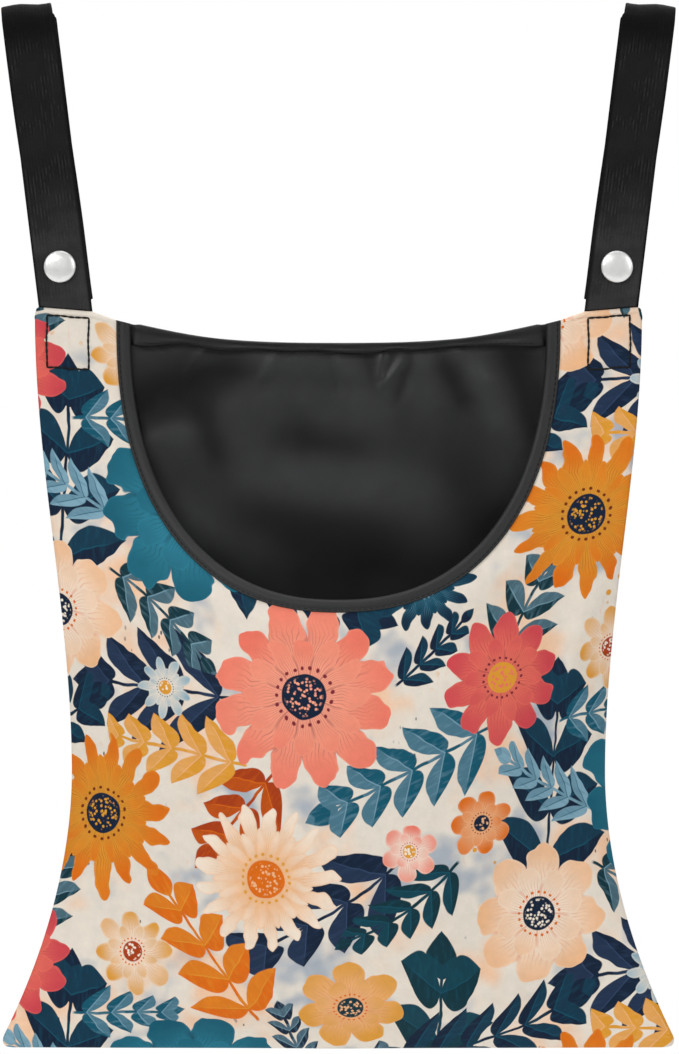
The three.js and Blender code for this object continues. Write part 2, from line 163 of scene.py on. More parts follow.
def panel_wall(facing, bulge, cloth):
    """A panel as a function of place and layer, which gives points and the way the cloth faces."""

    def wall(across, up, layer):
        across, up, layer = np.broadcast_arrays(*(np.asarray(v, float) for v in (across, up, layer)))
        slope_across, slope_up = swell_slopes(across, up, bulge)
        normal = np.stack([-slope_across, np.full_like(across, facing), -slope_up], -1)
        normal /= np.linalg.norm(normal, axis=-1, keepdims=True)
        turn = np.clip(np.minimum(side_at(up) - np.abs(across), up) / SEAM_TURN, 0, 1)
        rolled = np.sqrt(1 - (1 - turn) ** 2) * (PANEL_GAP - SEWN_GAP) / 2
        depth = SEWN_GAP / 2 + rolled + bulge * fullness(across, up)
        return np.stack([across, facing * depth, up], -1) + layer[..., None] * cloth * normal, normal

    return wall


front_wall = panel_wall(-1, FRONT_BULGE, FRONT_CLOTH)
back_wall = panel_wall(1, BACK_BULGE, BACK_CLOTH)
deepest = [float(wall(0, BULGE_HEIGHT, 1)[0][1]) for wall in (front_wall, back_wall)]
print("front and back at their fullest, mm:", np.round(deepest, 1))

# %% [markdown]
# ## Shader maths in plain sums
# A print is a picture, and with no image files it is drawn by maths in the shader. Math nodes placed one by
# one are hard to read, so a small class lets a socket be added and multiplied like a number, and places the
# node behind the sum. Effects that several finishes share are node groups with named sockets.

# %% Sockets that behave like numbers
def plug(tree, slot, value):
    if isinstance(value, Wire):
        tree.links.new(value.socket, slot)
    elif value is not None:
        slot.default_value = value


class Wire:
    """An output socket. Sums on it place Math nodes in its tree."""

    def __init__(self, tree, socket):
        self.tree, self.socket = tree, socket

    def math(self, operation, *others, first=None):
        node = self.tree.nodes.new("ShaderNodeMath")
        node.operation = operation
        values = (self, *others) if first is None else (first, self)
        for slot, value in zip(node.inputs, values):
            plug(self.tree, slot, value)
        return Wire(self.tree, node.outputs[0])

    def __add__(self, other):
        return self.math("ADD", other)

    __radd__ = __add__

    def __sub__(self, other):
        return self.math("SUBTRACT", other)

    def __rsub__(self, other):
        return self.math("SUBTRACT", first=other)

    def __mul__(self, other):
        return self.math("MULTIPLY", other)

    __rmul__ = __mul__

    def __truediv__(self, other):
        return self.math("DIVIDE", other)

    def __rtruediv__(self, other):
        return self.math("DIVIDE", first=other)

    def __pow__(self, other):
        return self.math("POWER", other)

    def smooth(self, low, high):
        """0 below low, 1 above high, with a soft step between; the other way round if low is above high."""
        node = self.tree.nodes.new("ShaderNodeMapRange")
        node.interpolation_type = "SMOOTHSTEP"
        turned_round = not isinstance(low, Wire) and not isinstance(high, Wire) and low > high
        ends = (high, low, 1.0, 0.0) if turned_round else (low, high, 0.0, 1.0)
        for slot, value in zip(node.inputs[:5], (self, *ends)):
            plug(self.tree, slot, value)
        return Wire(self.tree, node.outputs[0])

    def parts(self):
        node = self.tree.nodes.new("ShaderNodeSeparateXYZ")
        plug(self.tree, node.inputs[0], self)
        return [Wire(self.tree, out) for out in node.outputs]


number_first = [name.strip("_") for name in vars(Wire) if name.startswith("__r")]
print("sums that may start with a plain number:", number_first)

# %% [markdown]
# The same few helpers serve shaders and Geometry Nodes alike: place a node with its sockets filled by name,
# take an output from it, start a group with named sockets, and put a group to use. Filling sockets by
# position would be shorter, but a name says what the number is for.

# %% Nodes and colours by name
def node(tree, kind, settings=None, **values):
    """Places a node, sets its options and fills its sockets by name."""
    made = tree.nodes.new(kind)
    for option, choice in (settings or {}).items():
        setattr(made, option, choice)
    for label, value in values.items():
        plug(tree, made.inputs[label.replace("_", " ")], value)
    return made


def out_of(made, label=0):
    """An output of a node, ready for sums."""
    return Wire(made.id_data, made.outputs[label])


def vector(tree, x, y, z=0.0):
    return out_of(node(tree, "ShaderNodeCombineXYZ", X=x, Y=y, Z=z))


def noise(tree, place, size, detail=2.0, roughness=0.5):
    """Soft noise from 0 to 1 with lumps of about a given size, in the units of the place."""
    made = node(tree, "ShaderNodeTexNoise", Vector=place, Scale=1 / size, Detail=detail, Roughness=roughness)
    return out_of(made, "Fac")


def mixed(tree, share, under, over, blend="MIX"):
    made = node(tree, "ShaderNodeMix", {"data_type": "RGBA", "blend_type": blend})
    for slot, value in zip((made.inputs[0], made.inputs[6], made.inputs[7]), (share, under, over)):
        plug(tree, slot, value)
    return out_of(made, 2)


def paint(code):
    """A colour as written on a paint chart, six hex digits, in linear light."""
    channels = [int(code[k : k + 2], 16) / 255 for k in (0, 2, 4)]
    linear = [c / 12.92 if c <= 0.04045 else ((c + 0.055) / 1.055) ** 2.4 for c in channels]
    return (*linear, 1.0)


print("cream in linear light:", [round(c, 3) for c in paint("e2d9cc")[:3]])

# %% Groups with named sockets
def new_group(name, kind, takes, gives):
    """An empty node group with named sockets: the tree, its inputs, and the node that takes its results."""
    tree = bpy.data.node_groups.new(name, kind)
    for way, sockets in (("INPUT", takes), ("OUTPUT", gives)):
        for label, socket in sockets.items():
            tree.interface.new_socket(label, in_out=way, socket_type=f"NodeSocket{socket}")
    start, end = tree.nodes.new("NodeGroupInput"), tree.nodes.new("NodeGroupOutput")
    return tree, {label: out_of(start, label) for label in takes}, end


def effect(name, takes, gives):
    return new_group(name, "ShaderNodeTree", takes, gives)


def use(tree, group, **values):
    """Places a shader group in a tree and gives its outputs by name."""
    made = node(tree, "ShaderNodeGroup", {"node_tree": group}, **values)
    return {out.name: out_of(made, out.name) for out in made.outputs}


print("node groups so far:", len(bpy.data.node_groups))

# %% [markdown]
# ## The print
# The front is a painted floral: large blooms, leafy sprays and loose washes on cream. A drawn image would
# be the common way, but the cloth can carry no image, so the design is a rule. One repeat of 236 by 280 mm
# steps half its height in each new column, as cloth printers do. Testing every motif in full at every point
# would be slow. So a small group is chained once for each motif and keeps only the one that the point lies
# in; the petals and leaves are then drawn once, from that motif's own place, size and colours.

# %% Which bloom, and where in it
REPEAT_WIDTH, REPEAT_HEIGHT = 236.0, 280.0
TURN = 2 * math.pi
FOUND = {"Found": "Vector", "Chosen": "Float"}
BLOOM_REACH = 1.25


def half_drop(place, centre_across, centre_up):
    """Place from the nearest copy of a motif's centre, in a repeat that drops by half."""
    across, up, _ = place.parts()
    across, up = across - centre_across, up - centre_up
    column = (across / REPEAT_WIDTH).math("ROUND")
    up = (up - column * (REPEAT_HEIGHT / 2)).math("WRAP", REPEAT_HEIGHT / 2, -REPEAT_HEIGHT / 2)
    return across - column * REPEAT_WIDTH, up


def finder(name, sizes):
    """A group that takes one motif's sizes and number, and the motif found so far."""
    takes = dict.fromkeys([*sizes, "Number"], "Float")
    return effect(name, {"Place": "Vector", **takes, **FOUND}, FOUND)


def keep_better(tree, take, end, better, here):
    """Passes on this motif where it is the better one, and elsewhere the one found before."""
    plug(tree, end.inputs["Found"], mixed(tree, better, take["Found"], here))
    plug(tree, end.inputs["Chosen"], take["Chosen"] + better * (take["Number"] - take["Chosen"]))
    return tree


def bloom_finder():
    tree, take, end = finder("bloom_here", ["Centre across", "Centre up", "Radius"])
    across, up = half_drop(take["Place"], take["Centre across"], take["Centre up"])
    across, up = across / take["Radius"], up / take["Radius"]
    inside = (across * across + up * up).math("LESS_THAN", BLOOM_REACH)
    return keep_better(tree, take, end, inside, vector(tree, across, up, take["Radius"]))


bloom_here = bloom_finder()
print("nodes to find a bloom:", len(bloom_here.nodes))

# %% [markdown]
# A bloom is drawn in turns and reaches: the turn says which petal a point is in, and the reach how far out
# it lies. Two rings of petals overlap, each petal a little longer or shorter than the next, and a seeded
# heart in a ring of dots closes the middle. Slow noise makes every edge unsteady, as a brush does.

# %% How petals are painted
# Each ring: its reach, its turn by a share of a petal, and how much paler it is.
PETAL_RINGS = ((1.0, 0.0, 0.0), (0.66, 0.5, 0.3))
PETAL_RIBS, EDGE_SOFT = 8.0, 0.45


def painted_petals(tree, take, colour, brush, ring):
    """Lays one ring of petals over a colour."""
    out, angle, unsteady, soft = brush
    reach, shift, paler = ring
    step = angle * take["Petals"] / TURN + shift
    number = step.math("FLOOR").math("WRAP", take["Petals"], 0.0) + take["Chosen"] * 7 + shift
    chance = out_of(node(tree, "ShaderNodeTexWhiteNoise", {"noise_dimensions": "1D"}, W=number))
    sector = step.math("FRACT") - 0.5
    turn = sector * TURN / take["Petals"]
    along = out * turn.math("COSINE") / (chance * 0.13 + 0.87) / reach
    width = take["Plump"] / take["Petals"] * (along**0.75) * (1.0 - along ** take["Tip"]).math("SQRT")
    inward = width * reach - (out * turn.math("SINE")).math("ABSOLUTE")
    tone = mixed(tree, along.smooth(0.2, 0.95), take["Petal base"], take["Petal"])
    tone = mixed(tree, chance * 0.3 + paler * 0.8, tone, take["Petal base"])
    rib = (sector * PETAL_RIBS + unsteady).math("FRACT") - 0.5
    rib = rib.math("ABSOLUTE").smooth(0.16, 0.04) * along.smooth(0.85, 0.35)
    fold = sector.math("ABSOLUTE").smooth(0.43, 0.5) * along.smooth(1.0, 0.55)
    tone = mixed(tree, rib.math("MAXIMUM", fold) * 0.62, tone, take["Vein"])
    tone = mixed(tree, inward.smooth(soft * 3.2, soft) * 0.3, tone, take["Petal base"])
    return mixed(tree, inward.smooth(0.0, soft), colour, tone)


print("rings of petals:", len(PETAL_RINGS))

# %% How a whole bloom is painted
HEART_REACH, SEEDS_REACH = 0.235, 0.21
DOT_COUNT, DOT_REACH, DOT_SPACE = 21.0, 0.29, 0.085


def painted_heart(tree, take, colour, brush):
    """Lays the ring of dots and the seeded heart over a colour."""
    out, angle, _, soft = brush
    dot = (angle * DOT_COUNT / TURN).math("FRACT") - 0.5
    dot = ((dot * DOT_SPACE).math("POWER", 2.0) + (out - DOT_REACH).math("POWER", 2.0)).math("SQRT")
    colour = mixed(tree, dot.smooth(0.024, 0.014), colour, take["Vein"])
    grain = out_of(node(tree, "ShaderNodeTexVoronoi", Vector=take["Place"], Scale=0.62), "Distance")
    seed = grain.smooth(0.52, 0.3) * (SEEDS_REACH - out).smooth(0.0, 0.04)
    heart = mixed(tree, seed, take["Heart"], take["Petal base"])
    return mixed(tree, (HEART_REACH - out).smooth(0.0, soft), colour, heart)


def bloom_painter():
    sizes = dict.fromkeys(["Petals", "Plump", "Tip", "Chosen"], "Float")
    tones = dict.fromkeys(["Petal", "Petal base", "Vein", "Heart", "Under"], "Color")
    takes = {"Place": "Vector", "Found": "Vector", **sizes, **tones}
    tree, take, end = effect("painted_bloom", takes, {"Colour": "Color"})
    across, up, radius = take["Found"].parts()
    unsteady = noise(tree, take["Place"], 11.0, 1.0) - 0.5
    out = (across * across + up * up).math("SQRT") * (unsteady * 0.22 + 1.0)
    angle = up.math("ARCTAN2", across) + take["Chosen"] * 1.9 + unsteady * 0.25
    brush = (out, angle, unsteady, EDGE_SOFT / radius)
    colour = take["Under"]
    for ring in PETAL_RINGS:
        colour = painted_petals(tree, take, colour, brush, ring)
    plug(tree, end.inputs["Colour"], painted_heart(tree, take, colour, brush))
    return tree


painted_bloom = bloom_painter()
print("nodes to paint a bloom:", len(painted_bloom.nodes))

# %% [markdown]
# Leafy sprays work the same way. A spray is a bent stem with a pair of leaves at every step. Each leaf
# slants forward, so the rows of leaves are drawn in a place that is slanted with them, where a leaf never
# crosses into its neighbour's row.

# %% Which spray, and where along it
SPRAY_MIDDLE, SPRAY_HALF, LEAF_REACH = 0.6, 0.72, 1.15


def spray_finder():
    tree, take, end = finder("spray_here", ["Root across", "Root up", "Turn", "Length", "Leaf"])
    across, up = half_drop(take["Place"], take["Root across"], take["Root up"])
    cosine, sine = take["Turn"].math("COSINE"), take["Turn"].math("SINE")
    along = across * cosine + up * sine
    beside = up * cosine - across * sine
    middle = (along / take["Length"] - SPRAY_MIDDLE) / SPRAY_HALF
    far = (middle * middle + (beside / take["Leaf"] / LEAF_REACH).math("POWER", 2.0)).math("SQRT")
    nearer = far.math("LESS_THAN", take["Found"].parts()[2])
    return keep_better(tree, take, end, nearer, vector(tree, along, beside, far))


spray_here = spray_finder()
print("nodes to find a spray:", len(spray_here.nodes))

# %% How a spray is painted
def spray_painter():
    sizes = ["Length", "Pitch", "Leaf", "Slant", "Bend"]
    takes = {"Place": "Vector", "Found": "Vector", **dict.fromkeys(sizes, "Float")}
    takes |= dict.fromkeys(["Green", "Vein", "Under"], "Color")
    tree, take, end = effect("painted_spray", takes, {"Colour": "Color"})
    along, beside, _ = take["Found"].parts()
    unsteady = noise(tree, take["Place"], 9.0, 1.0) - 0.5
    beside = beside - take["Bend"] * along * along / take["Length"] + unsteady * 1.8
    side = beside.math("ABSOLUTE")
    row_place = along - side * take["Slant"] + unsteady * 2.2
    row = (row_place / take["Pitch"]).math("FLOOR")
    from_rib = row_place - (row + 0.5) * take["Pitch"]
    share = (row + 0.5) * take["Pitch"] / take["Length"]
    on_stem = share.smooth(0.0, 0.01) * share.smooth(1.01, 1.0)
    leaf = side / (take["Leaf"] * (1.0 - share * 0.5))
    width = (leaf.math("MINIMUM", 1.0) ** 0.75 * math.pi).math("SINE") * take["Pitch"] * 0.47
    blade = (width - from_rib.math("ABSOLUTE")).smooth(0.0, 0.6) * on_stem
    tip = ((along - take["Length"] + take["Pitch"] * 0.3) / take["Leaf"] / 0.75).math("MAXIMUM", 0.0)
    tip_width = (tip.math("MINIMUM", 1.0) ** 0.8 * math.pi).math("SINE") * take["Leaf"] * 0.24
    blade = blade.math("MAXIMUM", (tip_width - side).smooth(0.0, 0.6))
    stem = side.smooth(0.95, 0.55) * along.smooth(-1.0, 1.0) * (along / take["Length"]).smooth(1.05, 1.0)
    rib = from_rib.math("ABSOLUTE").smooth(0.5, 0.15) * leaf.smooth(0.85, 0.6) * on_stem
    tone = mixed(tree, from_rib.smooth(-0.4, 0.4) * 0.3 + rib * 0.6, take["Green"], take["Vein"])
    stroke = vector(tree, along * 0.35, beside * 1.6)
    tone = mixed(tree, noise(tree, stroke, 3.2, 2.0).smooth(0.45, 0.8) * 0.35, tone, take["Vein"])
    plug(tree, end.inputs["Colour"], mixed(tree, blade.math("MAXIMUM", stem), take["Under"], tone))
    return tree


painted_spray = spray_painter()
print("nodes to paint a spray:", len(painted_spray.nodes))

# %% [markdown]
# The ground is cream with thin washes of peach and grey-blue, a few dry-brush dashes and scattered dots.
# The list of motifs is the layout: places in one repeat, sizes and colour names.

# %% Colours and layout
NAVY, DEEP_TEAL, TEAL, SKY, SLATE = "0c1f36", "08313b", "0d5368", "7da4b6", "34496a"
ORANGE, RUST, CORAL, ROSE = "d9690f", "a53b10", "e8735f", "c8414c"
MUSTARD, PEACH, CREAM, IVORY = "da9730", "eab384", "e2d9cc", "f0e3d2"
WINE, UMBER = "7d2433", "6f2a10"

# across, up, radius, petals, plumpness, tip, petal, petal base, vein, heart
BLOOMS = [
    (219.9, 37.2, 46, 12, 3.3, 3.0, CORAL, "f0a085", WINE, NAVY),
    (166.7, 119.8, 45, 9, 3.2, 4.0, TEAL, "2f8399", NAVY, MUSTARD),
    (117.5, 252.5, 41, 15, 3.0, 2.0, ORANGE, MUSTARD, UMBER, NAVY),
    (201.6, 232.8, 38, 17, 2.5, 3.0, IVORY, PEACH, MUSTARD, ORANGE),
    (96.6, 67.5, 35, 8, 3.2, 3.6, PEACH, IVORY, ORANGE, NAVY),
    (79.4, 181.1, 32, 10, 3.4, 2.4, ROSE, CORAL, WINE, MUSTARD),
    (5.6, 25.9, 27, 7, 3.1, 3.4, MUSTARD, PEACH, ORANGE, DEEP_TEAL),
    (39.2, 230.0, 26, 13, 2.6, 2.6, NAVY, TEAL, SKY, CORAL),
    (137.7, 189.5, 21, 8, 3.0, 2.4, MUSTARD, IVORY, ORANGE, RUST),
    (68.3, 115.6, 17, 7, 3.0, 3.0, ORANGE, PEACH, RUST, NAVY),
    (33.6, 105.5, 14, 6, 3.1, 3.2, CORAL, IVORY, ROSE, MUSTARD),
    (151.7, 35.9, 15, 9, 2.6, 2.6, SKY, IVORY, TEAL, MUSTARD),
]

# across, up, turn, length, pitch, leaf, slant, bend, green, vein
SPRAYS = [
    (24.4, 270.0, 0.25, 92, 15, 27, 0.9, 0.14, NAVY, TEAL),
    (74.2, 159.5, 3.53, 86, 17, 24, 0.7, 0.03, TEAL, SKY),
    (205.0, 80.0, 0.93, 74, 13, 20, 1.0, -0.13, NAVY, SKY),
    (198.5, 157.2, 2.09, 80, 19, 25, 0.6, 0.10, ORANGE, MUSTARD),
    (56.5, 99.3, 3.97, 64, 12, 18, 0.9, -0.23, DEEP_TEAL, TEAL),
    (192.5, 4.3, 3.01, 70, 15, 20, 0.8, 0.04, MUSTARD, PEACH),
    (130.6, 112.4, 2.68, 58, 11, 15, 1.1, -0.11, SKY, TEAL),
    (126.2, 88.5, 5.80, 60, 14, 18, 0.7, -0.23, DEEP_TEAL, SKY),
    (223.2, 116.7, 1.86, 50, 10, 13, 1.0, 0.0, NAVY, SKY),
    (110.7, 157.6, 0.03, 46, 12, 15, 0.8, 0.09, TEAL, SKY),
    (27.0, 182.1, 0.65, 44, 10, 12, 0.9, 0.07, NAVY, TEAL),
]
# Broad leaves lie under the sprays and the blooms, in the same terms.
BROAD_LEAVES = [
    (39.9, 236.9, 1.38, 94, 31, 34, 0.7, 0.10, DEEP_TEAL, TEAL),
    (30.9, 102.1, 3.80, 79, 22, 28, 0.8, -0.08, NAVY, SLATE),
    (98.8, 78.6, 1.34, 91, 25, 34, 0.6, 0.12, NAVY, TEAL),
    (188.0, 33.9, 3.06, 69, 19, 34, 0.9, 0.06, NAVY, SLATE),
    (80.3, 190.2, 1.21, 46, 15, 22, 0.7, -0.10, DEEP_TEAL, SKY),
    (178.6, 108.9, 5.76, 79, 21, 28, 0.8, 0.08, NAVY, TEAL),
    (206.3, 3.3, 4.05, 51, 16, 22, 0.7, 0.0, RUST, ORANGE),
]
print("blooms, sprays and broad leaves in one repeat:", len(BLOOMS), len(SPRAYS), len(BROAD_LEAVES))

# %% Washed ground
WASH_SIZE, COOL_SIZE, COOL_SHIFT = 62.0, 48.0, 170.0
DASH_SCALE, DOT_SCALE = 0.3, 0.14


def washed_ground():
    tree, take, end = effect("washed_ground", {"Place": "Vector"}, {"Colour": "Color"})
    place = take["Place"]
    across, up, _ = place.parts()
    wet = noise(tree, place, WASH_SIZE, 3.0, 0.6)
    colour = mixed(tree, wet.smooth(0.5, 0.66) * 0.85, paint(CREAM), paint("efbf98"))
    cool = noise(tree, vector(tree, across + COOL_SHIFT, up + COOL_SHIFT), COOL_SIZE, 3.0, 0.62)
    colour = mixed(tree, cool.smooth(0.52, 0.66) * 0.75, colour, paint("8e9fb2"))
    dry = noise(tree, vector(tree, across * 3.0, up * 0.6), 9.0, 4.0, 0.7)
    colour = mixed(tree, dry.smooth(0.56, 0.66) * wet.smooth(0.44, 0.36) * 0.5, colour, paint("e6b8a6"))
    dash = node(tree, "ShaderNodeTexVoronoi", Vector=vector(tree, across, up * 0.5), Scale=DASH_SCALE)
    dash = out_of(dash, "Distance").smooth(0.2, 0.13) * cool.smooth(0.42, 0.36)
    dot = node(tree, "ShaderNodeTexVoronoi", Vector=place, Scale=DOT_SCALE, Randomness=0.75)
    dot = out_of(dot, "Distance").smooth(0.22, 0.17) * wet.smooth(0.42, 0.34)
    colour = mixed(tree, dash * 0.85, colour, paint(NAVY))
    plug(tree, end.inputs["Colour"], mixed(tree, dot, colour, paint(MUSTARD)))
    return tree


washed = washed_ground()
print("nodes in the ground:", len(washed.nodes))

# %% [markdown]
# The chosen motif is a number, and a colour ramp with hard steps turns that number into each of its colours
# and sizes. That keeps the layout in one table, and the shader small.

# %% A layout of sprays
# Where no motif is found, a point counts as far outside the first one.
NO_SPRAY = {"Found": (-500.0, 500.0, 1.0), "Chosen": 0.0}
NO_BLOOM = {"Found": (9.0, 9.0, 10.0), "Chosen": 0.0}
# A ramp holds numbers from 0 to 1, so sizes go in as shares of these.
SIZE_SPAN, SLANT_SPAN, PETAL_SPAN, PLUMP_SPAN = 100.0, 2.0, 32.0, 8.0


def looked_up(tree, chosen, entries):
    """A ramp of hard steps that gives the entry of the chosen motif."""
    ramp = tree.nodes.new("ShaderNodeValToRGB")
    ramp.color_ramp.interpolation = "CONSTANT"
    steps = ramp.color_ramp.elements
    while len(steps) < len(entries):
        steps.new(1.0)
    for k, entry in enumerate(entries):
        steps[k].position = k / len(entries)
        steps[k].color = entry
    plug(tree, ramp.inputs[0], (chosen + 0.5) / len(entries))
    return out_of(ramp)


def sprayed(tree, place, under, layout):
    """Paints a layout of sprays over what lies under it."""
    spray = NO_SPRAY
    for k, (across, up, turn, length, _, leaf, *_) in enumerate(layout):
        spot = dict(Root_across=across, Root_up=up, Turn=turn, Length=length, Leaf=leaf, Number=k)
        spray = use(tree, spray_here, Place=place, **spot, **spray)
    chosen = spray["Chosen"]
    sizes = looked_up(tree, chosen, [(*(s[k] / SIZE_SPAN for k in (3, 4, 5)), 1) for s in layout]).parts()
    bends = looked_up(tree, chosen, [(s[6] / SLANT_SPAN, s[7] + 0.5, 0, 1) for s in layout]).parts()
    tones = [looked_up(tree, chosen, [paint(s[k]) for s in layout]) for k in (8, 9)]
    shape = dict(zip(("Length", "Pitch", "Leaf"), [size * SIZE_SPAN for size in sizes]))
    shape |= dict(Slant=bends[0] * SLANT_SPAN, Bend=bends[1] - 0.5, Green=tones[0], Vein=tones[1])
    return use(tree, painted_spray, Place=place, Found=spray["Found"], Under=under, **shape)["Colour"]


print("steps in the ramps:", len(BROAD_LEAVES), len(SPRAYS), len(BLOOMS))

# %% The whole print as one group
def floral_print():
    tree, take, end = effect("floral_print", {"Place": "Vector"}, {"Colour": "Color"})
    place = take["Place"]
    colour = use(tree, washed, Place=place)["Colour"]
    colour = sprayed(tree, place, colour, BROAD_LEAVES)
    colour = sprayed(tree, place, colour, SPRAYS)
    bloom = NO_BLOOM
    for k, (across, up, radius, *_) in enumerate(BLOOMS):
        spot = dict(Centre_across=across, Centre_up=up, Radius=radius, Number=k)
        bloom = use(tree, bloom_here, Place=place, **spot, **bloom)
    chosen = bloom["Chosen"]
    counts = [(b[3] / PETAL_SPAN, b[4] / PLUMP_SPAN, b[5] / PLUMP_SPAN, 1) for b in BLOOMS]
    petals, plump, tip = looked_up(tree, chosen, counts).parts()
    tones = [looked_up(tree, chosen, [paint(b[k]) for b in BLOOMS]) for k in (6, 7, 8, 9)]
    shape = dict(Petals=(petals * PETAL_SPAN).math("ROUND"), Plump=plump * PLUMP_SPAN, Tip=tip * PLUMP_SPAN)
    shape |= dict(zip(("Petal", "Petal_base", "Vein", "Heart"), tones))
    colour = use(tree, painted_bloom, Place=place, **bloom, Under=colour, **shape)["Colour"]
    plug(tree, end.inputs["Colour"], colour)
    return tree


floral = floral_print()
print("nodes in the print:", len(floral.nodes))

# %% [markdown]
# ## Cloth, tape and webbing finishes
# Woven goods share one effect: threads that pass over and under each other, seen as a fine relief and a
# slight change of tone. It is a group with its own pitch for each cloth. A second group gives rubbed,
# uneven sheen. The shaders themselves stay in the materials, with every plain number on the shader's own
# socket.

# %% Weave and sheen groups
def weave_group():
    takes = {"Place": "Vector", "Pitch across": "Float", "Pitch along": "Float"}
    tree, take, end = effect("woven_threads", takes, {"Height": "Float", "Tone": "Float"})
    across, along, _ = take["Place"].parts()
    warp = (across * (TURN / 2) / take["Pitch across"]).math("SINE")
    weft = (along * (TURN / 2) / take["Pitch along"]).math("SINE")
    over = (warp * weft).smooth(-0.5, 0.5)
    rounded = over * weft.math("ABSOLUTE") + (1.0 - over) * warp.math("ABSOLUTE")
    slub = noise(tree, vector(tree, across * 0.15, along), 0.8, 2.0)
    plug(tree, end.inputs["Height"], rounded + slub * 0.35)
    plug(tree, end.inputs["Tone"], rounded * 0.25 + slub * 0.3 + 0.6)
    return tree


def rubbed_group():
    tree, take, end = effect("rubbed_sheen", {"Place": "Vector", "Size": "Float"}, {"Value": "Float"})
    scaled = node(tree, "ShaderNodeVectorMath", {"operation": "DIVIDE"}, Vector=take["Place"])
    plug(tree, scaled.inputs[1], take["Size"])
    plug(tree, end.inputs["Value"], noise(tree, out_of(scaled), 1.0, 4.0, 0.6))
    return tree


woven, rubbed = weave_group(), rubbed_group()
print("groups:", woven.name, rubbed.name)

# %% [markdown]
# The printed front is a tight plain weave with a dull face: the print's colour, broken a little by the
# brush and by the threads. The plain blacks differ only in their numbers, so one function makes them all
# from a table. Black cloth is never one black: it lies between a dark and a lighter one, by how rubbed it
# is.

# %% Printed front
PRINT_THREAD = 0.45


def new_finish(name, **numbers):
    material = bpy.data.materials.new(name)
    material.use_nodes = True
    shader = material.node_tree.nodes["Principled BSDF"]
    for label, value in numbers.items():
        shader.inputs[label.replace("_", " ")].default_value = value
    return material, material.node_tree, shader


def in_mm(tree, place):
    return out_of(node(tree, "ShaderNodeVectorMath", {"operation": "SCALE"}, Vector=place, Scale=1 / MM))


def flat_mm(tree):
    """The piece's own cloth map, in millimetres across and along."""
    return in_mm(tree, out_of(node(tree, "ShaderNodeUVMap", {"uv_map": "flat"})))


def relief(tree, shader, height, depth, strength):
    bump = node(tree, "ShaderNodeBump", Height=height, Distance=depth * MM, Strength=strength)
    plug(tree, shader.inputs["Normal"], out_of(bump))


def printed_finish():
    material, tree, shader = new_finish("printed_cloth", Specular_IOR_Level=0.12, Sheen_Weight=0.02)
    place = flat_mm(tree)
    threads = use(tree, woven, Place=place, Pitch_across=PRINT_THREAD, Pitch_along=PRINT_THREAD)
    colour = use(tree, floral, Place=place)["Colour"]
    brushed = noise(tree, place, 7.0, 4.0, 0.7) * 0.26 + threads["Tone"] * 0.1 + 0.765
    plug(tree, shader.inputs["Base Color"], mixed(tree, 1.0, colour, brushed, "MULTIPLY"))
    worn = use(tree, rubbed, Place=place, Size=25.0)["Value"]
    plug(tree, shader.inputs["Roughness"], worn * 0.2 + 0.55)
    relief(tree, shader, threads["Height"], 0.06, 0.5)
    return material


printed_cloth = printed_finish()
print("printed finish:", printed_cloth.name)

# %% Plain blacks
# Name, dark, light, roughness, thread pitch across and along, relief in millimetres, gloss.
PLAIN_BLACKS = (
    # The hem's cloth is painted darker than the back's, as shade on the folded band.
    ("black_hem", "060607", "101111", 0.45, (0.35, 0.35), 0.05, 0.32),
    ("black_tape", "0f1011", "1c1d1e", 0.48, (0.6, 0.45), 0.08, 0.42),
    ("black_thread", "050506", "101011", 0.6, (0.3, 0.3), 0.05, 0.25),
)


def woven_black(name, rough, pitch, depth, gloss, patch=16.0):
    """Black woven goods still without colour: threads in relief, an uneven sheen and a rubbed tone."""
    material, tree, shader = new_finish(name, Specular_IOR_Level=gloss)
    place = flat_mm(tree)
    threads = use(tree, woven, Place=place, Pitch_across=pitch[0], Pitch_along=pitch[1])
    worn = use(tree, rubbed, Place=place, Size=patch)["Value"]
    plug(tree, shader.inputs["Roughness"], worn * 0.3 + threads["Tone"] * 0.08 + (rough - 0.2))
    relief(tree, shader, threads["Height"], depth, 0.6)
    paler = worn.smooth(0.3, 0.75) * 0.6 + threads["Tone"] * 0.4
    return material, tree, shader.inputs["Base Color"], place, paler


def black_finish(name, dark, light, *weave):
    """Plain black cloth, tape or thread, between two blacks."""
    material, tree, colour, _, paler = woven_black(name, *weave)
    plug(tree, colour, mixed(tree, paler, paint(dark), paint(light)))
    return material


black_hem, black_tape, thread = (black_finish(*row) for row in PLAIN_BLACKS)
print("plain finishes:", black_hem.name, black_tape.name, thread.name)

# %% [markdown]
# Some black finishes change with the place on the piece. Coated cloth, on the back's outside and as lining,
# carries painted light and shade: paler on the crests of its folds and darker in the hollows, so it reads
# a number that its mesh carries at every point. Webbing shows ribs in streaks and has dark selvedges; it is
# painted darker as shade where it folds over the line, and painted paler as light towards both ends.

# %% Coated cloth
FOLD_SHADE_RANGE, COAT_THREAD, COAT_PATCH = 2.4, 0.35, 38.0


def coated_finish(name, rough, dark, light, gloss):
    weave = (rough, (COAT_THREAD, COAT_THREAD), 0.04, gloss)
    material, tree, colour, _, paler = woven_black(name, *weave, patch=COAT_PATCH)
    crest = out_of(node(tree, "ShaderNodeAttribute", {"attribute_name": "crest"}), "Fac")
    # Painted light and shade: paler where the folds stand out, darker in their hollows and under the hem.
    paler = crest.smooth(-FOLD_SHADE_RANGE, FOLD_SHADE_RANGE) * (paler * 0.5 + 0.5)
    plug(tree, colour, mixed(tree, paler, paint(dark), paint(light)))
    return material


lining = coated_finish("black_lining", 0.33, "020203", "3a3b3c", 0.27)
black_cloth = coated_finish("black_cloth", 0.36, "040405", "343536", 0.25)
print("coated finishes:", lining.name, black_cloth.name)

# %% Webbing
RIB_PITCH, SELVEDGE_FROM, SELVEDGE_TO = 1.6, 10.7, 12.1
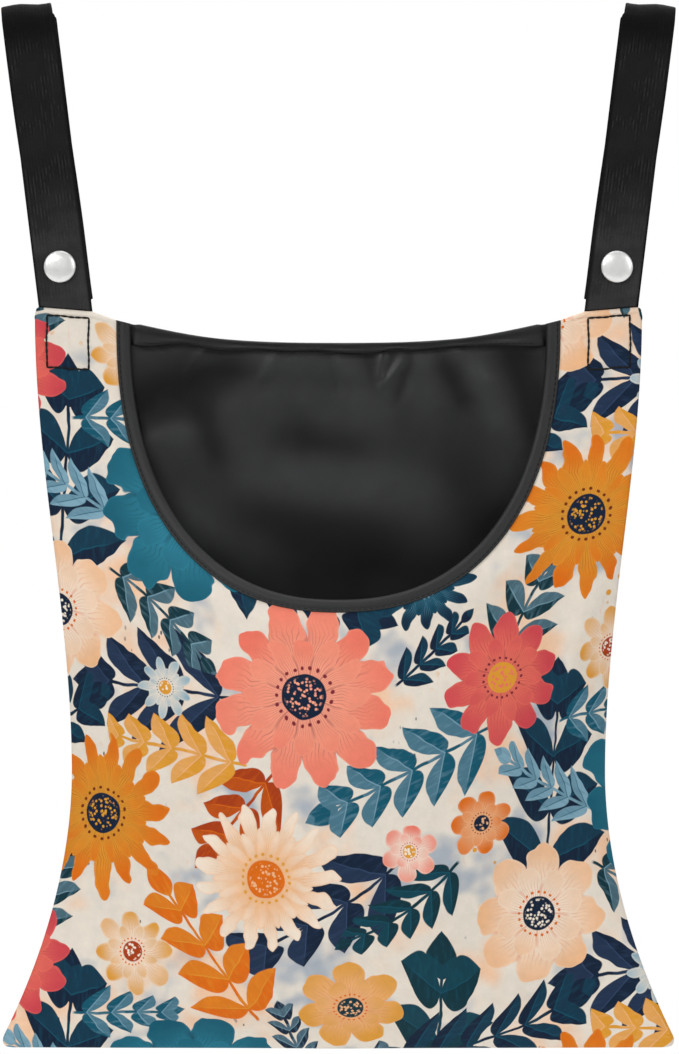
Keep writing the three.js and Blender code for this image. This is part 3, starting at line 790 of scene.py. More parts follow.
# Places along the webbing from its sewn tail: the fold over the line, painted darker as shade, and the
# two ends, painted paler as light.
FOLD_FROM, FOLD_TO = 165.0, 200.0
PAINTED_LIGHT_LOW, PAINTED_LIGHT_HIGH = 60.0, 287.0


def webbing_finish():
    material, tree, colour, place, paler = woven_black("webbing", 0.7, (1.55, 0.7), 0.34, 0.1)
    across, along, _ = place.parts()
    tone = mixed(tree, paler, paint("101011"), paint("1e1e1f"))
    rib = (across * (TURN / 2 / RIB_PITCH)).math("SINE").math("ABSOLUTE").smooth(0.45, 0.95)
    streak = noise(tree, vector(tree, across, along * 0.4), 2.2, 2.0).smooth(0.44, 0.58)
    streak = streak * noise(tree, place, 13.0, 1.0).smooth(0.42, 0.6)
    tone = mixed(tree, streak * 0.7, tone, mixed(tree, rib, paint("0a0a0b"), paint("2d2d2e")))
    # Painted light: paler towards both lower ends of the webbing, near the bag.
    painted_light_ends = along.smooth(PAINTED_LIGHT_LOW + 20, PAINTED_LIGHT_LOW - 20)
    painted_light_ends = painted_light_ends.math("MAXIMUM", along.smooth(PAINTED_LIGHT_HIGH - 25, PAINTED_LIGHT_HIGH + 25))
    tone = mixed(tree, painted_light_ends * paler * 0.8, tone, paint("404041"))
    # Painted shade: darker over the fold on the line; the dark selvedges are the webbing's own.
    folded = along.smooth(FOLD_FROM - 8, FOLD_FROM) * along.smooth(FOLD_TO + 14, FOLD_TO - 4)
    selvedge = across.math("ABSOLUTE").smooth(SELVEDGE_FROM, SELVEDGE_TO)
    dark = (folded * 0.85).math("MAXIMUM", selvedge * 0.8)
    plug(tree, colour, mixed(tree, dark, tone, paint("030303")))
    return material


webbing = webbing_finish()
print("webbing ribs across a strap:", round(STRAP_WIDTH / RIB_PITCH))

# %% [markdown]
# The press studs are a pearl-white cap and three plated pieces. They have no map of their own, so their
# finishes read Object coordinates: faint grain and scuffs under the cap's clear coat, fine wear on the
# metal.

# %% Cap and metal
# Name, dark, light, size of the scuffs, roughness from and by, grain size and detail, grain depth.
STUD_CAP = ("snap_cap", "e3e4e3", "f3f3f1", 2.4, 0.24, 0.2, 0.5, 3.0, 0.02)
STUD_METAL = ("snap_metal", "9a9b9d", "c9cacc", 1.6, 0.2, 0.25, 0.3, 2.0, 0.01)


def object_mm(tree):
    return in_mm(tree, out_of(node(tree, "ShaderNodeTexCoord"), "Object"))


def stud_finish(name, dark, light, scuff, rough, rougher, grain, detail, depth, **numbers):
    material, tree, shader = new_finish(name, **numbers)
    place = object_mm(tree)
    worn = use(tree, rubbed, Place=place, Size=scuff)["Value"]
    plug(tree, shader.inputs["Base Color"], mixed(tree, worn, paint(dark), paint(light)))
    plug(tree, shader.inputs["Roughness"], worn * rougher + rough)
    relief(tree, shader, noise(tree, place, grain, detail), depth, 0.4)
    return material


snap_cap = stud_finish(*STUD_CAP, Metallic=0.45, Coat_Weight=0.6, Coat_Roughness=0.14)
snap_metal = stud_finish(*STUD_METAL, Metallic=1.0)
print("stud finishes:", snap_cap.name, snap_metal.name)

# %% [markdown]
# ## Meshes from points
# Every piece is made from points, given to Blender as one mesh, with its place in the mesh and a map called
# flat that says where on the cut cloth each point lies.

# %% Pieces and faces
def added(name, data):
    """A new object in the scene, at the origin."""
    made = bpy.data.objects.new(name, data)
    scene.collection.objects.link(made)
    return made


def piece_of(name, points, faces, materials, which=None, flat=None, smooth=True):
    """A mesh object from bag points in metres."""
    mesh = bpy.data.meshes.new(name)
    mesh.from_pydata(np.asarray(points, float).reshape(-1, 3).tolist(), [], faces)
    for material in materials:
        mesh.materials.append(material)
    if which is not None:
        mesh.polygons.foreach_set("material_index", which)
    if flat is not None:
        corners = np.empty(len(mesh.loops), np.int32)
        mesh.loops.foreach_get("vertex_index", corners)
        layer = mesh.uv_layers.new(name="flat")
        layer.data.foreach_set("uv", np.asarray(flat, np.float32).reshape(-1, 2)[corners].ravel())
    mesh.polygons.foreach_set("use_smooth", [smooth] * len(mesh.polygons))
    mesh.update()
    return added(name, mesh)


def grid_faces(rows, columns, start=0, flip=False):
    number = np.arange(rows * columns).reshape(rows, columns) + start
    quads = np.stack([number[:-1, :-1], number[:-1, 1:], number[1:, 1:], number[1:, :-1]], -1).reshape(-1, 4)
    return (quads[:, ::-1] if flip else quads).tolist()


def rim_order(rows, columns):
    """The grid's edge points in order: along the bottom, up, back along the top, and down."""
    number = np.arange(rows * columns).reshape(rows, columns)
    return np.concatenate([number[0, :-1], number[:-1, -1], number[-1, :0:-1], number[:0:-1, 0]])


print("a 3 by 4 grid has", len(grid_faces(3, 4)), "faces and", len(rim_order(3, 4)), "rim points")

# %% Lofted skins
def facing_out(made):
    """Turns a closed skin's faces outwards, by the sign of its volume."""
    mesh = made.data
    mesh.calc_loop_triangles()
    points = np.array([v.co for v in mesh.vertices])
    corners = np.array([t.vertices for t in mesh.loop_triangles])
    a, b, c = (points[corners[:, k]] - points.mean(0) for k in range(3))
    if np.einsum("ij,ij->i", a, np.cross(b, c)).sum() < 0:
        mesh.flip_normals()
    return made


def lofted(name, loops, materials, flat=None):
    """A closed skin over equal loops of points, capped at both ends."""
    stations, sides = loops.shape[:2]
    number = np.arange(stations * sides).reshape(stations, sides)
    ahead = np.roll(number, -1, axis=1)
    quads = np.stack([number[:-1], number[1:], ahead[1:], ahead[:-1]], -1).reshape(-1, 4).tolist()
    faces = quads + [number[0].tolist(), number[-1, ::-1].tolist()]
    made = piece_of(name, loops, faces, materials, flat=flat)
    for end in made.data.polygons[-2:]:
        end.use_smooth = False
    return facing_out(made)


print("a skin over 3 loops of 4 points has", 2 * 4 + 2, "faces")

# %% [markdown]
# ## Cutting and hanging the panels
# A panel is a grid of points between the bottom seam and its top edge, whose sides follow the side seams.
# On the front the top edge dips round the mouth. A bag hangs and sags, so each panel is also let go as
# cloth: held along its seams, its bound edges and under the straps, a little larger than its space, with
# the weight of the cloth pulling down. What the cloth does is measured on a coarse grid, capped, and
# carried to the fine one. Simulating the fine grid itself would take minutes and add nothing that shows.

# %% Places of the rows and columns
CORNER_HALF = float(side_at(0))
CORNER_SHARE = CORNER_RADIUS / BAG_HEIGHT
# Columns by their distance from the side seam: close together at the rolled seam and at the mouth's corner.
FROM_SIDE = np.array([0, 0.4, 0.9, 1.6, 3.5, 6, 9, 12.5, 16, 19.5, 23, 26.8, 30, 33, 36, 38.5, 41, 42.4])
SEAM_COLUMNS = 4
# Rows by their share of the height: close together in the bottom corner, at the folds and in the top edge.
FOLDS_FROM, EDGE_FROM = 0.84, 0.972
EDGE_ROWS = [0.978, 0.983, 0.9865, 0.989, 0.9905, 0.992, 0.9935, 0.995, 0.9965, 0.998, 0.9992, 1.0]
RISES = np.concatenate(
    [
        CORNER_SHARE * (1 - np.cos(np.linspace(0, np.pi / 2, 7)[:-1])),
        np.linspace(CORNER_SHARE, FOLDS_FROM, 62)[:-1],
        np.linspace(FOLDS_FROM, EDGE_FROM, 35),
        EDGE_ROWS,
    ]
)
print("rows:", len(RISES), "columns beside each side seam:", len(FROM_SIDE))

# %% Grids over the panels
def mouth_edge(count):
    """The mouth's cut edge from left to right: places across and up."""
    angle = np.pi * (1 - np.arange(count + 1) / count)
    corner = float(top_at(MOUTH_HALF))
    across = np.sign(np.cos(angle)) * np.abs(np.cos(angle)) ** (2 / MOUTH_CURVE)
    down = np.abs(np.sin(angle)) ** (2 / MOUTH_CURVE)
    return MOUTH_HALF * across, corner - (MOUTH_DEPTH - (BAG_HEIGHT - corner)) * down


def front_columns(count=84):
    shoulder = SHOULDER_HALF - FROM_SIDE
    across, up = mouth_edge(count)
    foot = shoulder + CORNER_HALF - SHOULDER_HALF
    strip = (CORNER_HALF - SHOULDER_HALF + MOUTH_HALF) * np.linspace(-1, 1, count + 1)
    bottom = np.concatenate([-foot, strip, foot[::-1]])
    top = np.concatenate([-shoulder, across, shoulder[::-1]])
    return bottom, top, np.concatenate([top_at(shoulder), up, top_at(shoulder[::-1])])


def back_columns(count=230):
    near = FROM_SIDE[:SEAM_COLUMNS]
    inner = np.linspace(1, -1, count + 1)[1:-1]
    bottom, top = (
        np.concatenate([half - near, inner * (half - SEAM_TURN), near[::-1] - half])
        for half in (CORNER_HALF, SHOULDER_HALF)
    )
    return bottom, top, top_at(top)


def grid_over(columns, rises):
    """Places across and up at every row and column of a panel."""
    bottom, top, height = columns
    rise = rises[:, None]
    straight = CORNER_HALF + (SHOULDER_HALF - CORNER_HALF) * rise
    drawn_in = straight - side_at(rise * BAG_HEIGHT)
    return bottom + (top - bottom) * rise - drawn_in * bottom / CORNER_HALF, height * rise


print("front grid:", len(RISES), "rows,", len(front_columns()[0]), "columns")

# %% [markdown]
# Two small helpers come before the cloth: one softens a coarse field of movements, because a short
# simulation leaves jitter, and one reads it between its points on smooth curves. Straight lines between the
# points would show as facets in the sheen of the lining.

# %% Softening and reading a coarse field
def read_between(field, row, column):
    """A field of rows and columns at fractional places, on smooth curves through its points."""
    corner = [np.clip(np.floor(v).astype(int), 0, n - 2) for v, n in zip((row, column), field.shape)]
    total = np.zeros((*row.shape, field.shape[-1]))
    parts = []
    for v, base in zip((row, column), corner):
        t = v - base
        parts.append((-t + 2 * t**2 - t**3, 2 - 5 * t**2 + 3 * t**3, t + 4 * t**2 - 3 * t**3, t**3 - t**2))
    for i, row_part in enumerate(parts[0]):
        for j, column_part in enumerate(parts[1]):
            spot = [np.clip(base + k - 1, 0, n - 1) for base, k, n in zip(corner, (i, j), field.shape)]
            total += (row_part * column_part / 4)[..., None] * field[tuple(spot)]
    return total


def softened(field, times):
    for _ in range(times):
        for axis in (0, 1):
            wide = np.pad(field, [(1, 1) if k == axis else (0, 0) for k in range(3)], "edge")
            before, here, after = (np.take(wide, range(k, k + field.shape[axis]), axis) for k in range(3))
            field = before / 4 + here / 2 + after / 4
    return field


print("a level field stays level:", bool(np.allclose(softened(np.ones((3, 4, 3)), 2), 1)))

# %% Letting the cloth go
SIM_FRAMES = 22
CLOTH = {
    "quality": 6,
    "mass": 0.12,
    "tension_stiffness": 18,
    "compression_stiffness": 18,
    "shear_stiffness": 6,
    "bending_stiffness": 0.12,
    "vertex_group_mass": "held",
    "use_pressure": True,
}


def let_go(name, rest, held, growth, push):
    """Runs a grid of points as hanging cloth and gives how far each point moved, in metres."""
    cloth = piece_of(name, rest, grid_faces(*rest.shape[:2]), [])
    group = cloth.vertex_groups.new(name="held")
    for index, weight in enumerate(held.ravel()):
        group.add([index], float(weight), "REPLACE")
    modifier = cloth.modifiers.new("cloth", "CLOTH")
    for option, value in CLOTH.items():
        setattr(modifier.settings, option, value)
    modifier.settings.shrink_min = -growth
    modifier.settings.uniform_pressure_force = push
    modifier.collision_settings.use_collision = False
    modifier.point_cache.frame_end = SIM_FRAMES
    for number in range(1, SIM_FRAMES + 1):
        scene.frame_set(number)
    result = cloth.evaluated_get(bpy.context.evaluated_depsgraph_get()).data
    moved = np.empty(rest.size)
    result.vertices.foreach_get("co", moved)
    scene.frame_set(1)
    mesh = cloth.data
    bpy.data.objects.remove(cloth)
    bpy.data.meshes.remove(mesh)
    return moved.reshape(rest.shape) - rest


print("cloth runs for", SIM_FRAMES, "frames, skipped in a quick run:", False)

# %% How each panel settles
SIM_ROWS, SIM_COLUMNS = 64, 58
# Widths held along the seams, at the bound edges and beside the strap tails, and the way to full freedom.
SEAM_HELD, EDGE_HELD, TAIL_HELD, FREE_AFTER = 4, 8, 4, 24
SAG_CAP = 4.0


def held_back(wall, across, up):
    """Distance of each point from what holds the cloth: seams, bound edges, the mouth and the strap tails."""
    from_seam = np.minimum(side_at(up) - np.abs(across), up) - SEAM_HELD
    from_top = top_at(across) - up - EDGE_HELD
    beside_tail = np.maximum(0, SAG_REACH - TAIL_HELD - np.abs(across))
    from_tail = np.hypot(beside_tail, np.maximum(0, FLAT_TOP - up))
    if wall is front_wall:
        edge_across, edge_up = mouth_edge(150)
        from_edge = np.hypot(across[..., None] - edge_across, up[..., None] - edge_up).min(-1)
        in_mouth = (np.abs(across) < MOUTH_HALF) & (up > np.interp(across, edge_across, edge_up))
        from_top = np.where(in_mouth, -1, np.minimum(from_top, from_edge - EDGE_HELD))
    return np.minimum(np.minimum(from_seam, from_top), from_tail)


def settled(name, wall, columns, growth, push, soft):
    """The sag of one panel, in millimetres, at every point of its fine grid."""
    share, rise = np.meshgrid(np.linspace(-1, 1, SIM_COLUMNS), np.linspace(0, 1, SIM_ROWS))
    up = rise * BAG_HEIGHT
    across = share * side_at(up)
    clear = held_back(wall, across, up)
    moved = np.zeros((*across.shape, 3))
    rest = placed(wall(across, up, 0.5)[0])
    moved = softened(let_go(name, rest, (clear <= 0).astype(float), growth, push) / MM, soft)
    size = np.linalg.norm(moved, axis=-1, keepdims=True)
    moved = moved * ease(clear / FREE_AFTER)[..., None] * np.minimum(1, SAG_CAP / np.maximum(size, 1e-9))
    depth = wall(across, up, 0.0)[0][..., 1]
    inward = np.maximum(0, -np.sign(depth) * moved[..., 1] - 0.5 * np.abs(depth))
    moved[..., 1] += np.sign(depth) * inward
    across, up = grid_over(columns, RISES)
    column = (across / side_at(up) + 1) / 2 * (SIM_COLUMNS - 1)
    fine = read_between(moved, up / BAG_HEIGHT * (SIM_ROWS - 1), column)
    kept = np.linalg.norm(fine, axis=-1).max()
    print(name, "moved at most, mm:", round(float(size.max()), 1), "kept:", round(float(kept), 2))
    return fine


front_sag = settled("front_cloth", front_wall, front_columns(), growth=0.02, push=0.6, soft=1)
back_sag = settled("back_cloth", back_wall, back_columns(), growth=0.025, push=0.0, soft=3)

# %% [markdown]
# The cloth has thickness, and its edge is a turned fold, not a cut, so the shell's rim is rounded. Small
# puckers stand along the sewn sides, where thread draws the cloth up, and the shoulder edge carries the
# raised band of a folded hem. The map called flat is the cloth laid out: lengths are measured over the
# swell, so the print isn't stretched by it.

# %% Cloth laid out flat, its puckers and its band
FLAT_STEPS = 17
SIDE_WAVES, FOOT_WAVES = (7.3, 11.9, 17.7), (8.1, 13.7, 21.1)


def laid_flat(across, up, bulge):
    """Where a point lies on the cut cloth: lengths over the swell, from the middle and the bottom."""
    steps = np.linspace(0, 1, FLAT_STEPS).reshape(-1, *[1] * np.ndim(across))
    slope_across, _ = swell_slopes(across * steps, up + 0 * steps, bulge)
    _, slope_up = swell_slopes(across + 0 * steps, up * steps, bulge)
    weight = np.ones(FLAT_STEPS)
    weight[[0, -1]] = 0.5
    weight /= FLAT_STEPS - 1
    longer = [np.tensordot(weight, np.hypot(1, slope), axes=1) for slope in (slope_across, slope_up)]
    return np.stack([across * longer[0], up * longer[1]], -1)


def puckers(across, up):
    """Small waves along the side seams and the bottom seam, in millimetres."""

    def fading(distance):
        return np.clip(distance / 2.5, 0, 1) * np.exp(-np.maximum(0, distance) / 9)

    along_side = sum(np.sin(TURN * up / wave + 2.1 * wave) * wave for wave in SIDE_WAVES) / 37
    along_foot = sum(np.sin(TURN * across / wave + 1.3 * wave) * wave for wave in FOOT_WAVES) / 43
    from_side = side_at(up) - np.abs(across)
    return 0.45 * along_side * fading(from_side) + 0.5 * along_foot * fading(up)


def shoulder_band(across, up):
    """The raised band where the shoulder edge is folded over and sewn."""
    down = top_at(across) - up
    edge = 1.15 + 0.15 * np.sin(across / 3.1)
    return 1.05 * (1 - ease((down - edge) / 0.55)) * ease((np.abs(across) - MOUTH_HALF - 5.5) / 6)


waist = laid_flat(side_at(WAIST_HEIGHT), WAIST_HEIGHT, FRONT_BULGE)
print("half the front's cut width at the waist, mm:", round(float(waist[0]), 1))

# %% [markdown]
# The back isn't smooth: a black lining shows every fold. The folds that show through the mouth are placed
# one by one, as short soft ridges and hollows, with a few sharp creases under the hem. Noise would be
# quicker, but it makes lumps, and cloth makes lines. Below the mouth the back drapes more loosely.

# %% Folds of the back
# Folds of the back, as lines from and to (across, up), half width, and height towards the inside.
HOLLOWS = [
    (-57, 316, -94, 299, 13, -3.0),
    (-62, 292, -57, 281, 7, -1.7),
    (14, 323, 16, 314, 4, -0.9),
    (34, 323, 29, 309, 3.6, -1.2),
    (50, 322, 59, 307, 6, -1.5),
    (85, 322, 91, 301, 9, -2.8),
    (-14, 286, 6, 282, 10, -1.6),
    (-30, 246, 10, 238, 18, -2.2),
    (58, 262, 70, 250, 15, -2.0),
]
CRESTS = [
    (-92, 286, -72, 291, 6, 1.5),
    (-45, 304, 8, 305, 12, 0.8),
    (-58, 325, 4, 321, 6, 1.2),
    (38, 325, 50, 327, 5, 0.9),
    (40, 320, 42, 300, 8, 0.5),
    (66, 315, 74, 299, 7, 1.2),
    (-40, 272, -8, 268, 14, 1.6),
    (18, 268, 44, 262, 14, 1.7),
    (-62, 246, -42, 238, 13, 1.6),
]
CREASES = [
    (21.2, 327, 19.6, 317, 1.3, 0.9),
    (25.8, 325, 22.5, 318, 2.1, -0.9),
    (30.8, 323, 21.0, 313, 1.6, 0.65),
    (-28, 328, -35, 317, 2.6, 0.5),
    (58, 328, 67, 316, 2.8, 0.6),
    (-4, 327, -1, 313, 3.4, -0.6),
    (-62, 330, -70, 319, 2.8, 0.5),
]
# Drape of the back where it hangs free, in the same terms, with its height towards the outside.
DRAPE = [
    (-113, 290, -100, 206, 5.5, 1.3),
    (114, 276, 104, 226, 5.5, 1.0),
    (-100, 196, -40, 96, 12, 1.8),
    (96, 186, 84, 118, 10, 1.4),
    (-58, 190, -30, 146, 9, -1.1),
    (54, 170, 64, 118, 9, -1.1),
    (-14, 188, 40, 178, 9, 0.9),
    (-98, 96, -84, 40, 9, -1.2),
    (100, 92, 60, 62, 10, 1.3),
    (-124, 54, -88, 24, 6.5, 1.3),
    (122, 44, 104, 20, 6, 1.1),
    (-16, 116, 42, 96, 12, 1.2),
    (-10, 68, 36, 52, 9, -1.0),
    (-64, 44, -22, 30, 8, 1.0),
    (58, 30, 84, 26, 7, 0.9),
]
DRAPE_TOP, DRAPE_FADE = 206.0, 22.0

print("folds, creases and lines of drape:", len(HOLLOWS + CRESTS), len(CREASES), len(DRAPE))

# %% Width of the hem, and the line under it
HEM_PINCH, HEM_OPENS, HEM_LOOSE, HEM_LINE_ENDS = 27.0, 70.0, 5.6, 92.0


def hem_leg(across):
    """How far the hem's inner leg reaches down: a wavering width, pinched once, that opens at both ends."""
    waver = 0.45 * np.sin(across / 11.3 + 0.6) + 0.3 * np.sin(across / 5.1)
    pinch = 0.9 * np.exp(-(((across - HEM_PINCH) / 5) ** 2))
    loose = HEM_LOOSE * ease((np.abs(across) - HEM_OPENS) / 27)
    return HEM_WIDTH - 0.3 + waver - pinch + loose


def under_hem(across, up):
    """The line below the hem, where its seam draws the lining in, from 0 to 1; it also sets a painted shadow.
    """
    below = top_at(across) - hem_leg(across) - 0.9 - up
    return np.exp(-((below / 1.2) ** 2)) * (1 - ease((np.abs(across) - HEM_LINE_ENDS) / 5))


print("hem's inner leg in the middle, mm:", round(float(hem_leg(0.0)), 1))

# %% What the folds do to the cloth
# The soft folds rise by a share of their height; the painted light and shade shows all of it.
FOLD_SHARE = 0.5


def folds(across, up, lines):
    """Ridges along short lines, soft at both ends, in millimetres."""
    total = np.zeros_like(across)
    for x0, z0, x1, z1, wide, high in lines:
        length = math.hypot(x1 - x0, z1 - z0)
        along = ((across - x0) * (x1 - x0) + (up - z0) * (z1 - z0)) / length
        aside = ((across - x0) * (z1 - z0) - (up - z0) * (x1 - x0)) / length
        past = np.maximum(0, np.maximum(-along, along - length))
        total += high * np.exp(-((aside / wide) ** 2) - (past / wide / 1.5) ** 2)
    return total * ease((top_at(across) - 2.5 - up) / 3)


def draped(across, up):
    """The back's drape, which dies out at the seams and behind the mouth."""
    behind_mouth = ease((up - DRAPE_TOP) / DRAPE_FADE) * ease((MOUTH_HALF + 4 - np.abs(across)) / 5)
    from_seam = np.minimum(side_at(up) - np.abs(across), up)
    return folds(across, up, DRAPE) * (1 - behind_mouth) * ease((from_seam - 2) / DRAPE_FADE)


def back_relief(across, up):
    """Painted light and shade on the lining and the outside, by how far folds stand out, and the lift."""
    soft, sharp = folds(across, up, HOLLOWS + CRESTS), folds(across, up, CREASES)
    drawn, hang = under_hem(across, up), draped(across, up)
    # Painted light and shade: the lining is darker under the hem; both faces are paler on crests, darker in
    # hollows.
    inside = soft + 0.5 * sharp - 2.2 * drawn
    outside = 1.2 * hang - 0.5 * soft - 0.4 * sharp
    return inside, outside, hang - FOLD_SHARE * soft - sharp + 0.3 * drawn


middle_relief = back_relief(np.zeros(2), np.array([150.0, 305.0]))
print("lift of the back at two heights in the middle, mm:", np.round(middle_relief[2], 2))

# %% [markdown]
# A shell is the outer face, the inner face, and three rows of points that round the rim between them.
# Solidify would thicken a sheet too, but it gives the rim a square edge and knows nothing of the band on
# the shoulder, which only the outer face has.

# %% Rounded rims and faces of a shell
RIM_TURNS = np.pi * np.array([0.25, 0.5, 0.75])


def rounded_rim(outer, inner, rim, rows, count):
    """Rows of points that round the shell's edge, from its outer face to its inner one."""
    inside = np.clip(np.stack([rim // count, rim % count], -1), 1, (rows - 2, count - 2))
    middle = (outer[rim] + inner[rim]) / 2
    away = middle - (outer + inner)[inside[:, 0] * count + inside[:, 1]] / 2
    half = (outer[rim] - inner[rim]) / 2
    radius = np.linalg.norm(half, axis=-1, keepdims=True)
    away -= half * np.sum(away * half, -1, keepdims=True) / radius**2
    away *= radius / np.linalg.norm(away, axis=-1, keepdims=True)
    return [middle + half * np.cos(turn) + away * np.sin(turn) for turn in RIM_TURNS]


def on_shell(outer, inner, rim):
    """What the two faces carry, and the rim's rows with the inner one, in the order of the shell's points."""
    return np.concatenate([outer, inner] + [inner[rim]] * len(RIM_TURNS))


def shell_faces(rows, count, rim):
    """Faces of the shell, and which of its two finishes each one has."""
    size = rows * count
    rim_rows = [2 * size + k * len(rim) + np.arange(len(rim)) for k in range(len(RIM_TURNS))]
    loops = [rim, *rim_rows, size + rim]
    faces = grid_faces(rows, count) + grid_faces(rows, count, size, flip=True)
    for near, far in zip(loops, loops[1:]):
        faces += np.stack([np.roll(near, -1), near, far, np.roll(far, -1)], -1).tolist()
    plain = (rows - 1) * (count - 1)
    return faces, [0] * plain + [1] * plain + [0] * (len(faces) - 2 * plain)


print("a 3 by 4 shell has", len(shell_faces(3, 4, rim_order(3, 4))[0]), "faces")

# %% Both panels
def cut_area(flat):
    """Area of the cut cloth, from the diagonals of its grid."""
    one, two = flat[1:, 1:] - flat[:-1, :-1], flat[1:, :-1] - flat[:-1, 1:]
    return float(np.abs(one[..., 0] * two[..., 1] - one[..., 1] * two[..., 0]).sum() / 2)


def cloth_shell(name, wall, bulge, columns, sag, materials):
    """A panel with thickness, mapped as the cut cloth: the piece, its cut size and its cut area."""
    across, up = grid_over(columns, RISES)
    rows, count = across.shape
    lift = puckers(across, up)
    inside = outside = np.zeros_like(across)
    if wall is back_wall:
        inside, outside, folded = back_relief(across, up)
        lift = lift + folded
    outer, normal = wall(across, up, 1.0)
    outer = outer + sag + (lift + shoulder_band(across, up))[..., None] * normal
    inner = wall(across, up, 0.0)[0] + sag + lift[..., None] * normal
    outer, inner = outer.reshape(-1, 3), inner.reshape(-1, 3)
    rim = rim_order(rows, count)
    points = np.concatenate([outer, inner, *rounded_rim(outer, inner, rim, rows, count)])
    faces, which = shell_faces(rows, count, rim)
    flat = laid_flat(across, up, bulge) * MM
    spots = flat.reshape(-1, 2)
    made = piece_of(name, placed(points), faces, materials, which, on_shell(spots, spots, rim))
    # Painted light and shade for the coated finishes, carried on each point of the shell.
    fold_shades = made.data.attributes.new("crest", "FLOAT", "POINT").data
    fold_shades.foreach_set("value", on_shell(outside.ravel(), inside.ravel(), rim))
    return made, np.ptp(spots, axis=0), cut_area(flat)


front_panel, front_flat, front_area = cloth_shell(
    "printed_front", front_wall, FRONT_BULGE, front_columns(), front_sag, [printed_cloth, lining]
)
back_panel, back_flat, back_area = cloth_shell(
    "black_back", back_wall, BACK_BULGE, back_columns(), back_sag, [black_cloth, lining]
)
print("cut sizes, mm:", np.round(front_flat / MM), np.round(back_flat / MM))
print("cut areas, m2:", round(front_area, 4), round(back_area, 4))

# %% [markdown]
# ## Tape round the mouth
# The mouth's raw edge is bound: a tape is folded over it and sewn through, so it stands a little proud,
# with a soft crown beside the stitch line. It is one section that follows one path, which is what Geometry
# Nodes do well. The path is a string of points on the cut edge that also says which way the cloth faces;
# the tree makes a curve of it, turns the curve's normal to the cloth and sweeps the section along it.

# %% A tree that sweeps a tape along an edge
def handed_over(tree, made, finish, end):
    """Smooth faces, real instances and the finish: the last steps of every tree."""
    for kind in ("GeometryNodeSetShadeSmooth", "GeometryNodeRealizeInstances"):
        made = out_of(node(tree, kind, Geometry=made))
    finished = node(tree, "GeometryNodeSetMaterial", Geometry=made, Material=finish)
    plug(tree, end.inputs[0], out_of(finished))
    return tree


def stored(tree, label, kind):
    """A number or direction that the geometry carries by name."""
    named = node(tree, "GeometryNodeInputNamedAttribute", {"data_type": kind}, Name=label)
    return out_of(named, "Attribute")


def measured(tree, path, label):
    """A path as a curve that carries the length along it by name."""
    curve = out_of(node(tree, "GeometryNodeMeshToCurve", Mesh=path))
    length = out_of(node(tree, "GeometryNodeSplineParameter"), "Length")
    return out_of(node(tree, "GeometryNodeStoreNamedAttribute", Geometry=curve, Name=label, Value=length))


def tape_tree():
    takes = {"Path": "Geometry", "Section": "Object", "Finish": "Material"}
    tree, take, end = new_group("tape_along_edge", "GeometryNodeTree", takes, {"Tape": "Geometry"})
    path = measured(tree, take["Path"], "along")
    facing = stored(tree, "facing", "FLOAT_VECTOR")
    upright = node(tree, "GeometryNodeSetCurveNormal", {"mode": "FREE"}, Curve=path, Normal=facing)
    section = out_of(node(tree, "GeometryNodeObjectInfo", Object=take["Section"]), "Geometry")
    profile = measured(tree, section, "around")
    sweep = dict(Curve=out_of(upright), Profile_Curve=profile, Fill_Caps=True)
    swept = out_of(node(tree, "GeometryNodeCurveToMesh", **sweep))
    spot = vector(tree, stored(tree, "around", "FLOAT"), stored(tree, "along", "FLOAT"))
    on_corners = {"data_type": "FLOAT2", "domain": "CORNER"}
    flat = node(tree, "GeometryNodeStoreNamedAttribute", on_corners, Geometry=swept, Name="flat", Value=spot)
    return handed_over(tree, out_of(flat), take["Finish"], end)


tape_along_edge = tape_tree()
print("nodes in the tape tree:", len(tape_along_edge.nodes))

# %% Running a tree on a path
def path_of(name, points, facing, closed=False, runs=1):
    """Strings of points as a mesh of edges, with the way the cloth faces kept on each point."""
    mesh = bpy.data.meshes.new(name)
    links = [(k, k + 1) for k in range(len(points) - 1) if (k + 1) % (len(points) // runs)]
    if closed:
        links.append((len(points) - 1, 0))
    mesh.from_pydata(np.asarray(points).tolist(), links, [])
    if facing is not None:
        kept = mesh.attributes.new("facing", "FLOAT_VECTOR", "POINT")
        kept.data.foreach_set("vector", np.asarray(facing, np.float32).ravel())
    return added(name, mesh)


def grown(made, tree, **inputs):
    """Runs a tree on an object, with its inputs set by identifier, and keeps the result as a plain mesh."""
    modifier = made.modifiers.new(tree.name, "NODES")
    modifier.node_group = tree
    for item in tree.interface.items_tree:
        if item.in_out == "INPUT" and item.name in inputs:
            modifier[item.identifier] = inputs[item.name]
    depsgraph = bpy.context.evaluated_depsgraph_get()
    mesh = bpy.data.meshes.new_from_object(
        made.evaluated_get(depsgraph), preserve_all_data_layers=True, depsgraph=depsgraph
    )
    made.modifiers.remove(modifier)
    bare, made.data = made.data, mesh
    mesh.name = made.name
    bpy.data.meshes.remove(bare)
    return made


takes = [item.name for item in tape_along_edge.interface.items_tree if item.in_out == "INPUT"]
print("inputs of the tape tree:", takes)

# %% [markdown]
# The tape's section is drawn once, as one side of the fold from its end to its nose, and mirrored. A dip
# beside the end is where the stitches pull it down. The two ends of the tape are cut on the slant of the
# top edge, so that the binding finishes level with the shoulder.

# %% Section of the tape
# Past the cut edge, and off the middle of the cloth: one side of the folded tape, from its end to its nose.
TAPE_SIDE = np.array(
    [
        *[(-5.0, 0.72), (-5.02, 1.05), (-4.8, 1.34), (-4.4, 1.44), (-3.95, 1.28), (-3.7, 1.24), (-3.45, 1.3)],
        *[(-3.0, 1.6), (-2.3, 1.86), (-1.4, 1.98), (-0.5, 1.96), (0.4, 1.78), (1.1, 1.38), (1.6, 0.74)],
    ]
)
TAPE_NOSE = [(1.8, 0)]
TAPE_SLOT = np.array([(-4.9, 0.66), (0.3, 0.66), (0.5, 0.0)])


